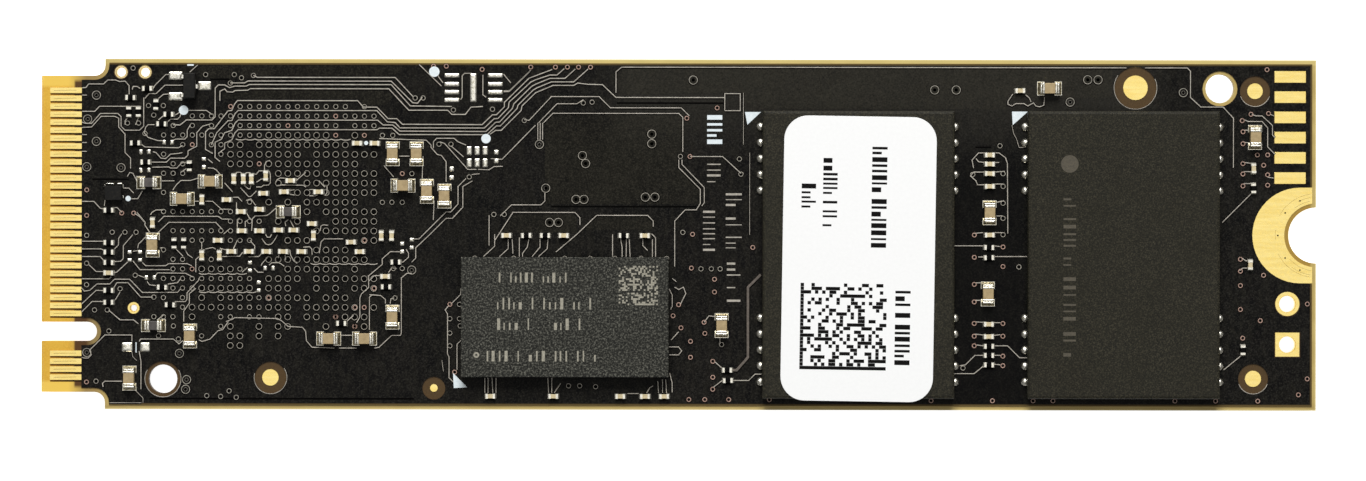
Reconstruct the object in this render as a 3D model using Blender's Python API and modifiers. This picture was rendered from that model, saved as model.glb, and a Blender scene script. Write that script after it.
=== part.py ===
"""Double-sided M.2 2280 solid state drive with an M-key edge connector.

Frame: the origin is the middle of the connector's leading edge, halfway through the board. +X runs along
the card to the mounting notch, and +Z points out of the side that carries the label, here called the front.
Sizes are in millimetres, and MM turns them into metres where an object is made. Everything that is soldered
to the board is built upwards from the board's middle plane, and a back part is the same mesh turned over.
"""

from math import acos, cos, degrees, pi, radians, sin

import bmesh
import bpy
from mathutils import Matrix

MM = 0.001
WELD = 1e-7

# The card, as the M.2 2280 drawing gives it.
CARD_LENGTH = 80.0
CARD_WIDTH = 22.0
TONGUE_LENGTH = 4.0
TONGUE_WIDTH = 19.85
SHOULDER_RADIUS = 0.65
KEY_Y = -6.125
KEY_WIDTH = 1.2
KEY_DEPTH = 3.5
NOTCH_RADIUS = 1.75
LEADING_CHAMFER = 0.15

# Heights above the board's middle plane: laminate, copper foil, solder mask, and what stands on them.
LAMINATE_TOP = 0.35
FOIL_LOW, FOIL_TOP = 0.355, 0.385
MASK_LOW, MASK_TOP = 0.390, 0.410
CHIP_SEAT = 0.440
JOINT_LOW, JOINT_TOP = 0.415, 0.665
SUBSTRATE_LOW, SUBSTRATE_TOP = 0.655, 0.810
MOULD_LOW = 0.815
DIE_LOW = 0.820

# How far the layers are drawn in from the card's edge, and where they start behind the contacts.
MASK_INSET, MASK_START = 0.26, 2.53
POUR_INSET, POUR_START = 0.30, 3.10

# Edge contacts: 0.5 mm apart on each side, the two sides staggered by half of that.
CONTACT_PITCH = 0.5
CONTACT_WIDTH = 0.35
CONTACT_TIP, CONTACT_ROOT = 0.55, 2.60
TIE_END = 2.90
CONTACT_ROWS = (
    ("edge_contacts_front_long", 9.0, 29, 1),
    ("edge_contacts_front_key", -7.5, 4, 1),
    ("edge_contacts_back_long", 9.25, 29, -1),
    ("edge_contacts_back_key", -7.25, 5, -1),
)

# Mounting pad round the notch: an arch whose centre lies inside the card's end.
PAD_CENTRE_X = 79.0
PAD_RADIUS = 3.0
PAD_CLEARANCE = 0.03
PAD_BARE_RIM = 0.25

# Holes: x, y, radius of the hole, radius of the bare or plated ring round it.
TOOLING_HOLES = ((7.65, -9.1, 0.90, 1.12), (73.95, 9.2, 0.90, 1.10))
PLATED_HOLES = ((5.0, 10.15, 0.30, 0.46), (6.5, 10.15, 0.30, 0.46), (5.8, -4.65, 0.22, 0.40))
HEADER_HOLES = ((78.2, -4.3, 0.53, 0.81), (78.2, -6.85, 0.53, 0.81))
# Test points on the front: x, y, radius of the opening in the mask.
TEST_POINTS = ((68.65, 9.25, 1.32), (76.15, 9.05, 0.95), (76.05, -9.0, 0.94), (14.4, -9.0, 1.0), (24.65, -9.65, 0.72))
# Six programming pads in a column on the front.
PROGRAM_PADS = [(78.35, 9.95 - 1.27 * row) for row in range(6)]
PROGRAM_PAD_SIZE = (2.04, 0.80)

# Ball-grid packages: size across X and Y, top of the mould, and the dies inside as count, size, thickness, step.
# How the upper edge of the mould is eased: steps of drop below the top and inset, top last.
SOFT_EDGE = ((0.10, 0.0), (0.035, 0.05), (0.0, 0.17))
CRISP_EDGE = ((0.04, 0.0), (0.0, 0.04))
NAND = {"size": (12.0, 18.0), "top": 1.52, "edge": SOFT_EDGE, "dies": (4, 9.6, 12.6, 0.13, 0.30)}
DRAM = {"size": (13.0, 7.5), "top": 1.40, "edge": CRISP_EDGE, "dies": (1, 10.4, 5.6, 0.30, 0.0)}
CONTROLLER = {"size": (16.0, 16.0), "top": 1.55, "edge": CRISP_EDGE, "dies": (1, 8.6, 9.0, 0.40, 0.0)}
JOINT_MARGIN = 0.8
POCKET_GAP = 0.1
POCKET_HEADROOM = 0.04
PACKAGES = (
    ("nand_front_left", NAND, 51.25, -1.25, 1),
    ("nand_front_right", NAND, 67.85, -1.25, 1),
    ("nand_back_left", NAND, 51.25, -1.25, -1),
    ("nand_back_right", NAND, 67.85, -1.25, -1),
    ("dram_front", DRAM, 32.88, -5.18, 1),
    ("dram_back", DRAM, 32.88, -5.18, -1),
    ("controller", CONTROLLER, 14.6, 0.4, -1),
)

# Paper label on the front left memory package, set down slightly askew.
LABEL_SIZE = (9.6, 18.0)
LABEL_RADIUS = 1.5
LABEL_CENTRE = (51.33, -1.5)
LABEL_TURN = -1.2
LABEL_LOW, LABEL_TOP = 1.525, 1.600

# Two-ended chip parts: length, width, height, and how long and proud the metal ends are.
CAPACITOR = (1.20, 0.70, 0.62, 0.30, 0.02)
FERRITE_BEAD = (1.10, 0.60, 0.40, 0.28, 0.02)
POWER_INDUCTOR = (2.5, 2.0, 1.00, 0.45, 0.03)
LYING, STANDING = 0, 90
CAPACITORS = (
    (8.85, 2.20, LYING), (10.60, 3.30, LYING), (7.00, -0.70, STANDING), (9.35, -6.40, STANDING),
    (5.55, -9.05, STANDING), (18.05, -6.55, LYING), (20.30, -6.55, LYING), (22.05, 5.05, STANDING),
    (23.55, 5.05, STANDING), (22.70, 3.05, LYING), (24.20, 2.70, STANDING), (25.30, 2.40, STANDING),
    (22.05, -5.20, STANDING), (42.70, -5.70, STANDING), (59.50, 1.40, STANDING), (59.40, -3.70, STANDING),
    (63.25, 9.20, LYING), (76.15, 6.15, STANDING),
)
FERRITE_BEADS = ((6.75, 3.22, LYING), (15.50, 1.40, LYING), (7.05, -5.75, LYING))
POWER_INDUCTORS = ((28.2, 7.6), (28.2, 4.2))

# Small parts with a plain body: x, y, size.
POWER_MANAGER = (33.5, 5.4, (5.0, 5.0, 0.85))
LOAD_SWITCH = (4.55, 2.55, (1.05, 0.90, 0.40))
SMALL_BEVEL = 0.03
TRANSISTOR_X, TRANSISTOR_Y = 9.33, 9.28
CRYSTAL_X, CRYSTAL_Y = 24.5, -5.5


# ---------------------------------------------------------------- shapes


def arc(x, y, radius, start, stop, steps):
    """Points on a circle from angle start to angle stop, in degrees, both ends included."""
    angles = [radians(start + (stop - start) * step / steps) for step in range(steps + 1)]
    return [(x + radius * cos(angle), y + radius * sin(angle)) for angle in angles]


def circle(x, y, radius, steps=24):
    return arc(x, y, radius, 0, 360, steps)[:-1]


def rectangle(x, y, length, width):
    half, side = length / 2, width / 2
    return [(x - half, y - side), (x + half, y - side), (x + half, y + side), (x - half, y + side)]


def rounded_rectangle(length, width, radius, steps=6):
    half, side = length / 2 - radius, width / 2 - radius
    corners = ((half, side, 0), (-half, side, 90), (-half, -side, 180), (half, -side, 270))
    return [point for x, y, start in corners for point in arc(x, y, radius, start, start + 90, steps)]


def notch(inset=0.0):
    """The half-round mounting notch, bottom to top, where the card's end is drawn in by inset."""
    radius = NOTCH_RADIUS + inset
    end = degrees(acos(-inset / radius))
    return arc(CARD_LENGTH, 0, radius, 360 - end, end, 24)


def arch(radius, start=270, stop=90):
    """The curve round the mounting pad, bottom to top."""
    return arc(PAD_CENTRE_X, 0, radius, start, stop, 24)


def card_outline(inset, start, mounting_end):
    """The card's outline drawn in by inset, from x = start, with mounting_end's points across its far end."""
    tongue, side = TONGUE_WIDTH / 2 - inset, CARD_WIDTH / 2 - inset
    corner_x, corner_y = TONGUE_LENGTH - SHOULDER_RADIUS, TONGUE_WIDTH / 2 + SHOULDER_RADIUS
    shoulder, near, far = SHOULDER_RADIUS + inset, TONGUE_LENGTH + inset, CARD_LENGTH - inset
    slot, slot_x = KEY_WIDTH / 2 + inset, KEY_DEPTH - KEY_WIDTH / 2
    turn = degrees(acos(max(0.0, start - slot_x) / slot))
    slot_end = arc(slot_x, KEY_Y, slot, turn, -turn, 14)
    if start < slot_x:
        slot_end = [(start, KEY_Y + slot), *slot_end, (start, KEY_Y - slot)]
    return [
        (start, -tongue),
        *arc(corner_x, -corner_y, shoulder, 90, 0, 6),
        (near, -side),
        (far, -side),
        *mounting_end,
        (far, side),
        (near, side),
        *arc(corner_x, corner_y, shoulder, 0, -90, 6),
        (start, tongue),
        *slot_end,
    ]


# ---------------------------------------------------------------- meshes


def evaluated_mesh(source):
    """The object's shape, with its modifiers, as a new mesh."""
    graph = bpy.context.evaluated_depsgraph_get()
    return bpy.data.meshes.new_from_object(source.evaluated_get(graph))


def flat_mesh(outline, holes, *heights):
    """A plate of that outline between two heights, with the holes through it."""
    low, high = sorted(heights)
    curve = bpy.data.curves.new("outline", "CURVE")
    curve.dimensions = "2D"
    curve.fill_mode = "BOTH"
    curve.extrude = (high - low) / 2 * MM
    for loop in (outline, *holes):
        spline = curve.splines.new("POLY")
        spline.points.add(len(loop) - 1)
        spline.use_cyclic_u = True
        for point, (x, y) in zip(spline.points, loop):
            point.co = (x * MM, y * MM, 0, 1)
    guide = bpy.data.objects.new("outline", curve)
    cutters.objects.link(guide)
    mesh = evaluated_mesh(guide)
    bpy.data.objects.remove(guide)
    bpy.data.curves.remove(curve)
    return welded(mesh, Matrix.Translation((0, 0, (low + high) / 2 * MM)))


def welded(mesh, matrix):
    """The mesh with its loose caps joined to its sides, its faces pointing out, moved by the matrix."""
    shape = bmesh.new()
    shape.from_mesh(mesh)
    bmesh.ops.remove_doubles(shape, verts=shape.verts, dist=WELD)
    bmesh.ops.recalc_face_normals(shape, faces=shape.faces)
    shape.transform(matrix)
    shape.to_mesh(mesh)
    shape.free()
    return mesh


def box_mesh(length, width, low, high, x=0.0, y=0.0):
    """A box of that plan size, centred on x and y, between two heights."""
    mesh = bpy.data.meshes.new("box")
    shape = bmesh.new()
    bmesh.ops.create_cube(shape, size=1)
    bmesh.ops.scale(shape, vec=(length * MM, width * MM, (high - low) * MM), verts=shape.verts)
    bmesh.ops.translate(shape, vec=(x * MM, y * MM, (low + high) / 2 * MM), verts=shape.verts)
    shape.to_mesh(mesh)
    shape.free()
    return mesh


def layered_mesh(length, width, levels):
    """A block whose sides are drawn in at each height: levels are height and inset, from the bottom up."""
    mesh = bpy.data.meshes.new("block")
    shape = bmesh.new()
    loops = []
    for height, inset in levels:
        outline = rectangle(0, 0, length - 2 * inset, width - 2 * inset)
        loops.append([shape.verts.new((x * MM, y * MM, height * MM)) for x, y in outline])
    shape.faces.new(loops[0][::-1])
    shape.faces.new(loops[-1])
    for low, high in zip(loops, loops[1:]):
        for index in range(4):
            after = (index + 1) % 4
            shape.faces.new((low[index], low[after], high[after], high[index]))
    shape.to_mesh(mesh)
    shape.free()
    return mesh


def combined_mesh(base, tools, operation, bevel=0.0):
    """The base mesh, its edges bevelled, then joined with or cut by each tool mesh."""
    body = bpy.data.objects.new("body", base)
    cutters.objects.link(body)
    if bevel:
        add_bevel(body, bevel)
    helpers = [bpy.data.objects.new("tool", tool) for tool in tools]
    for helper in helpers:
        cutters.objects.link(helper)
        modifier = body.modifiers.new("combine", "BOOLEAN")
        modifier.operation = operation
        modifier.object = helper
    mesh = evaluated_mesh(body)
    for used in (body, *helpers):
        bpy.data.objects.remove(used)
    return mesh


def add_bevel(body, width):
    modifier = body.modifiers.new("edges", "BEVEL")
    modifier.width = width * MM
    modifier.segments = 1
    modifier.limit_method = "ANGLE"


# ---------------------------------------------------------------- objects


def add_collection(name):
    collection = bpy.data.collections.new(name)
    bpy.context.scene.collection.children.link(collection)
    return collection


def add_material(name, colour, roughness, metallic=0.0):
    material = bpy.data.materials.new(name)
    material.use_nodes = True
    shader = material.node_tree.nodes["Principled BSDF"]
    shader.inputs["Base Color"].default_value = (*colour, 1)
    shader.inputs["Roughness"].default_value = roughness
    shader.inputs["Metallic"].default_value = metallic
    material.diffuse_color = (*colour, 1)
    return material


def add_part(name, mesh, material, x=0.0, y=0.0, turn=0.0, side=1):
    """One named piece. On the back, side = -1 turns it over about the card's long axis."""
    part = bpy.data.objects.new(name, mesh)
    part.location = (x * MM, y * MM, 0)
    part.rotation_euler = (0 if side > 0 else pi, 0, radians(turn))
    if not mesh.materials:
        mesh.materials.append(material)
    parts.objects.link(part)
    return part


# ---------------------------------------------------------------- the board


def build_laminate():
    """The glass-epoxy board, with its key slot, notch, holes and chamfered leading edge."""
    holes = [circle(x, y, radius) for x, y, radius, _ in (*TOOLING_HOLES, *PLATED_HOLES, *HEADER_HOLES)]
    plate = flat_mesh(card_outline(0, 0, notch()), holes, -LAMINATE_TOP, LAMINATE_TOP)
    diagonal = LEADING_CHAMFER * 2**0.5
    edge = box_mesh(diagonal, CARD_WIDTH, -diagonal / 2, diagonal / 2)
    edge.transform(Matrix.Rotation(pi / 4, 4, "Y"))
    chamfers = []
    for side in (-1, 1):
        cutter = edge.copy()
        cutter.transform(Matrix.Translation((0, 0, side * LAMINATE_TOP * MM)))
        chamfers.append(cutter)
    add_part("circuit_board", combined_mesh(plate, chamfers, "DIFFERENCE"), laminate)


def mask_openings(side):
    """What the solder mask leaves open: rings round the holes and, on the front, the bare pads."""
    rings = [circle(x, y, ring) for x, y, _, ring in (*TOOLING_HOLES, *PLATED_HOLES)]
    round_pad, square_pad = HEADER_HOLES
    rings.append(circle(round_pad[0], round_pad[1], round_pad[3]))
    rings.append(rectangle(square_pad[0], square_pad[1], 2 * square_pad[3], 2 * square_pad[3]))
    if side < 0:
        return rings
    points = [circle(x, y, radius) for x, y, radius in TEST_POINTS]
    pads = [rectangle(x, y, *PROGRAM_PAD_SIZE) for x, y in PROGRAM_PADS]
    return rings + points + pads


def pour_openings(side):
    """Clearances in the outer copper: the mask's openings without the programming pads, which lie beyond it."""
    openings = mask_openings(side)
    return openings[: -len(PROGRAM_PADS)] if side > 0 else openings


def build_layers():
    """Copper pour and solder mask on each side."""
    far = CARD_LENGTH - MASK_INSET
    radius = PAD_RADIUS + PAD_CLEARANCE
    mask_end = [(far, -radius), *arch(radius), (far, radius)]
    mask_outline = card_outline(MASK_INSET, MASK_START, mask_end)
    radius = PAD_RADIUS + 0.15
    curve = arch(radius, 270, 125)
    far = CARD_LENGTH - POUR_INSET
    # The pour stops short of the programming pads, so its outline runs straight up from the arch.
    lower = card_outline(POUR_INSET, POUR_START, [(far, -radius), *curve])
    corner = lower.index((far, CARD_WIDTH / 2 - POUR_INSET))
    lower[corner] = (curve[-1][0], CARD_WIDTH / 2 - POUR_INSET)
    for side, name in ((1, "front"), (-1, "back")):
        pour = flat_mesh(lower, pour_openings(side), side * FOIL_LOW, side * FOIL_TOP)
        add_part(f"copper_pour_{name}", pour, copper)
        sheet = flat_mesh(mask_outline, mask_openings(side), side * MASK_LOW, side * MASK_TOP)
        add_part(f"solder_mask_{name}", sheet, mask)


def build_mounting_pads():
    """The gold arch that the screw head and the standoff press on, one on each side."""
    far = CARD_LENGTH - PAD_BARE_RIM
    inner = NOTCH_RADIUS + PAD_BARE_RIM
    end = degrees(acos(-PAD_BARE_RIM / inner))
    outline = [(far, -PAD_RADIUS), *arch(PAD_RADIUS), (far, PAD_RADIUS)]
    outline += arc(CARD_LENGTH, 0, inner, end, 360 - end, 24)
    for side, name in ((1, "front"), (-1, "back")):
        pad = flat_mesh(outline, (), side * FOIL_LOW, side * FOIL_TOP)
        add_part(f"mounting_pad_{name}", pad, gold)


def contact_row(first, count):
    """Outline of a row of contacts, top to bottom, joined under the mask by a narrow tie."""
    outline = []
    half = CONTACT_WIDTH / 2
    for index in range(count):
        y = first - index * CONTACT_PITCH
        outline += [(CONTACT_ROOT, y + half), (CONTACT_TIP, y + half), (CONTACT_TIP, y - half)]
        outline.append((CONTACT_ROOT, y - half))
    last = first - (count - 1) * CONTACT_PITCH
    return outline + [(TIE_END, last - half), (TIE_END, first + half)]


def build_contacts():
    for name, first, count, side in CONTACT_ROWS:
        row = flat_mesh(contact_row(first, count), (), side * FOIL_LOW, side * FOIL_TOP)
        add_part(name, row, gold)


# ---------------------------------------------------------------- packages


def stair_mesh(count, length, width, thickness, step):
    """Stacked dies, each set back from the one below so that its bond pads stay clear."""
    half = (length + (count - 1) * step) / 2
    left, right = [], []
    for index in range(count):
        low = DIE_LOW + index * thickness
        start = -half + index * step
        left += [(start, low), (start, low + thickness)]
        right += [(start + length, low), (start + length, low + thickness)]
    profile = flat_mesh(right + left[::-1], (), -width / 2, width / 2)
    profile.transform(Matrix.Rotation(pi / 2, 4, "X"))
    return profile


def package_meshes(kind):
    """Mould, dies and substrate of one kind of ball-grid package, about the package's own centre."""
    length, width = kind["size"]
    count, die_length, die_width, thickness, step = kind["dies"]
    stack_length = die_length + (count - 1) * step
    ceiling = DIE_LOW + count * thickness + POCKET_HEADROOM
    pocket = box_mesh(stack_length + 2 * POCKET_GAP, die_width + 2 * POCKET_GAP, MOULD_LOW - 0.1, ceiling)
    eased = [(kind["top"] - drop, inset) for drop, inset in kind["edge"]]
    shell = layered_mesh(length, width, [(MOULD_LOW, 0.0), *eased])
    joints = box_mesh(length - 2 * JOINT_MARGIN, width - 2 * JOINT_MARGIN, JOINT_LOW, JOINT_TOP)
    plate = box_mesh(length, width, SUBSTRATE_LOW, SUBSTRATE_TOP)
    return (
        combined_mesh(shell, [pocket], "DIFFERENCE"),
        stair_mesh(count, die_length, die_width, thickness, step),
        combined_mesh(plate, [joints], "UNION"),
    )


def build_packages():
    made = {}
    for name, kind, x, y, side in PACKAGES:
        key = kind["size"]
        if key not in made:
            made[key] = package_meshes(kind)
        mould, dies, plate = made[key]
        add_part(f"{name}_mould", mould, epoxy, x, y, side=side)
        add_part(f"{name}_dies", dies, silicon, x, y, side=side)
        add_part(f"{name}_substrate", plate, substrate, x, y, side=side)


def build_label():
    outline = rounded_rectangle(*LABEL_SIZE, LABEL_RADIUS)
    sheet = flat_mesh(outline, (), LABEL_LOW, LABEL_TOP)
    add_part("label", sheet, paper, *LABEL_CENTRE, turn=LABEL_TURN)


# ---------------------------------------------------------------- small parts


def chip_mesh(length, width, height, end, proud):
    """A chip part lying along X: a body with a slightly larger metal cap on each end."""
    body = box_mesh(length - end, width - 2 * proud, CHIP_SEAT + proud, CHIP_SEAT + height - proud)
    place = (length - end) / 2
    caps = [box_mesh(end, width, CHIP_SEAT, CHIP_SEAT + height, x) for x in (-place, place)]
    return combined_mesh(body, caps, "UNION")


def build_chip_parts():
    capacitor = chip_mesh(*CAPACITOR)
    for index, (x, y, turn) in enumerate(CAPACITORS, 1):
        add_part(f"capacitor_{index:02d}", capacitor, ceramic, x, y, turn)
    bead = chip_mesh(*FERRITE_BEAD)
    for index, (x, y, turn) in enumerate(FERRITE_BEADS, 1):
        add_part(f"ferrite_bead_{index}", bead, ferrite, x, y, turn)
    coil = chip_mesh(*POWER_INDUCTOR)
    for index, (x, y) in enumerate(POWER_INDUCTORS, 1):
        add_part(f"power_inductor_{index}", coil, ferrite, x, y, side=-1)


def build_plain_chips():
    """The power-management chip on the back and the load switch on the front."""
    for name, (x, y, size), side in (("power_manager", POWER_MANAGER, -1), ("load_switch", LOAD_SWITCH, 1)):
        length, width, height = size
        body = box_mesh(length, width, CHIP_SEAT, CHIP_SEAT + height)
        add_part(name, combined_mesh(body, (), "UNION", SMALL_BEVEL), epoxy, x, y, side=side)


def build_transistor():
    """A three-leaded transistor: two leads towards the contacts, one away from them."""
    body = box_mesh(0.80, 1.62, CHIP_SEAT + 0.04, CHIP_SEAT + 0.72)
    leads = []
    for direction, y in ((-1, 0.58), (-1, -0.58), (1, -0.04)):
        leads.append(box_mesh(0.40, 0.26, CHIP_SEAT + 0.28, CHIP_SEAT + 0.40, direction * 0.45, y))
        leads.append(box_mesh(0.12, 0.26, CHIP_SEAT, CHIP_SEAT + 0.40, direction * 0.59, y))
        leads.append(box_mesh(0.24, 0.26, CHIP_SEAT, CHIP_SEAT + 0.12, direction * 0.70, y))
    mesh = combined_mesh(body, leads, "UNION", SMALL_BEVEL)
    add_part("transistor", mesh, epoxy, TRANSISTOR_X, TRANSISTOR_Y)


def build_crystal():
    """The clock crystal: a ceramic base with a smaller metal lid."""
    base = box_mesh(2.0, 1.6, CHIP_SEAT, CHIP_SEAT + 0.28)
    lid = box_mesh(1.76, 1.36, CHIP_SEAT + 0.2, CHIP_SEAT + 0.5)
    add_part("clock_crystal", combined_mesh(base, [lid], "UNION"), steel, CRYSTAL_X, CRYSTAL_Y, side=-1)


# ---------------------------------------------------------------- build

for old in list(bpy.data.objects):
    bpy.data.objects.remove(old)
parts = add_collection("solid_state_drive")
cutters = add_collection("cutters")

laminate = add_material("laminate", (0.63, 0.42, 0.12), 0.45)
copper = add_material("copper", (0.72, 0.36, 0.20), 0.40, 1.0)
gold = add_material("gold", (0.95, 0.72, 0.32), 0.30, 1.0)
mask = add_material("solder_mask", (0.02, 0.018, 0.015), 0.35)
epoxy = add_material("mould_epoxy", (0.05, 0.05, 0.045), 0.75)
silicon = add_material("silicon", (0.18, 0.19, 0.22), 0.20)
substrate = add_material("substrate", (0.04, 0.06, 0.04), 0.50)
paper = add_material("label_paper", (0.93, 0.93, 0.91), 0.60)
ceramic = add_material("ceramic", (0.55, 0.44, 0.31), 0.45)
ferrite = add_material("ferrite", (0.16, 0.16, 0.17), 0.55)
steel = add_material("crystal_steel", (0.75, 0.74, 0.70), 0.30, 1.0)

build_laminate()
build_layers()
build_mounting_pads()
build_contacts()
build_packages()
build_label()
build_chip_parts()
build_plain_chips()
build_transistor()
build_crystal()
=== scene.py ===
"""Looks of a double-sided M.2 solid state drive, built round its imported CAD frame.

Plan positions and heights are in millimetres in the CAD's frame: X along the card, Y across it, heights above
the board's middle plane. A Shape made with side = -1 is mirrored to the card's back.
"""

from math import cos, hypot, pi, radians, sin
from random import Random

import bpy
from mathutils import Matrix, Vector


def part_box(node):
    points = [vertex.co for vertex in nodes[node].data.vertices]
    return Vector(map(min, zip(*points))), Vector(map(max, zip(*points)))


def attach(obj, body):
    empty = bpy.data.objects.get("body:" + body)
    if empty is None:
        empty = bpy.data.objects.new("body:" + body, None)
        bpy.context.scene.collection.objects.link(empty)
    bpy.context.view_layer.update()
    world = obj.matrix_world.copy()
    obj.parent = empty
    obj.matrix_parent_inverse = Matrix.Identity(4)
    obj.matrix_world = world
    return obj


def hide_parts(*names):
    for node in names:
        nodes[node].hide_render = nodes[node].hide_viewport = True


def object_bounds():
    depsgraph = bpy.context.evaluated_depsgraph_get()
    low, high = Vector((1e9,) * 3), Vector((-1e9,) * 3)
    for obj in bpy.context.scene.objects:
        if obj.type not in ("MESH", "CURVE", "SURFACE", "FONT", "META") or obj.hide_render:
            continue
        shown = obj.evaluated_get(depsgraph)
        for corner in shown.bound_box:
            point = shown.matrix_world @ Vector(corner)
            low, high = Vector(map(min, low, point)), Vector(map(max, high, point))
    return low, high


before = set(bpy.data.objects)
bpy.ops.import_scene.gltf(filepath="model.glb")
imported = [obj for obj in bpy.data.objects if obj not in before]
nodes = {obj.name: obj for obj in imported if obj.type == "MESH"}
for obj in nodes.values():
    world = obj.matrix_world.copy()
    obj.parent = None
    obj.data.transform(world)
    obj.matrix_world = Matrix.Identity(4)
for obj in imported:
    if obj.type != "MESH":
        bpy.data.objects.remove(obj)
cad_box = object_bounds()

MM = 0.001
FRONT, BACK = 1, -1
SIDE_NAMES = {FRONT: "front", BACK: "back"}
LYING, STANDING = 0, 90

# Heights of the CAD's layers.
LAMINATE_TOP = 0.350
FOIL_LOW, FOIL_TOP = 0.355, 0.385
MASK_TOP = 0.410
SEAT = 0.440
BALL_LOW, BALL_TOP = 0.412, 0.655
NAND_TOP, DRAM_TOP, LABEL_LOW, LABEL_TOP, PRINT_TOP = 1.520, 1.400, 1.525, 1.596, 1.600
SILK_LOW, SILK_TOP = MASK_TOP - 0.005, 0.424

# Places that several pieces share.
NOTCH = (80.0, 0.0)
KEY_SLOT = (3.05, -6.125)
NANDS = ((51.25, -1.25), (67.85, -1.25))
DRAM = (32.88, -5.18)
POWER_MANAGER, CRYSTAL = (33.5, 5.4), (24.5, -5.5)

# ---------------------------------------------------------------- outlines


def arc(x, y, radius, start, stop, steps):
    angles = [radians(start + (stop - start) * step / steps) for step in range(steps + 1)]
    return [(x + radius * cos(angle), y + radius * sin(angle)) for angle in angles]


def circle(x, y, radius, steps=16):
    return arc(x, y, radius, 0, 360, steps)[:-1]


def square_round(x, y, half, steps=32):
    """A square's outline, with as many points as a circle has."""
    points = []
    for step in range(steps):
        across, up = cos(2 * pi * step / steps), sin(2 * pi * step / steps)
        reach = half / max(abs(across), abs(up))
        points.append((x + across * reach, y + up * reach))
    return points


def rectangle(left, right, low, high):
    return [(left, low), (right, low), (right, high), (left, high)]


def rounded(length, width, radius, steps=3):
    half, side = length / 2 - radius, width / 2 - radius
    corners = ((half, side, 0), (-half, side, 90), (-half, -side, 180), (half, -side, 270))
    return [point for x, y, start in corners for point in arc(x, y, radius, start, start + 90, steps)]


def placed(outline, x, y, turn=0.0):
    """The outline turned by that many degrees, then moved to x, y."""
    along, up = cos(radians(turn)), sin(radians(turn))
    return [(x + u * along - v * up, y + u * up + v * along) for u, v in outline]


def pairs(numbers):
    """A flat row of numbers as points."""
    return list(zip(numbers[::2], numbers[1::2]))


# ---------------------------------------------------------------- shapes


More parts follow.
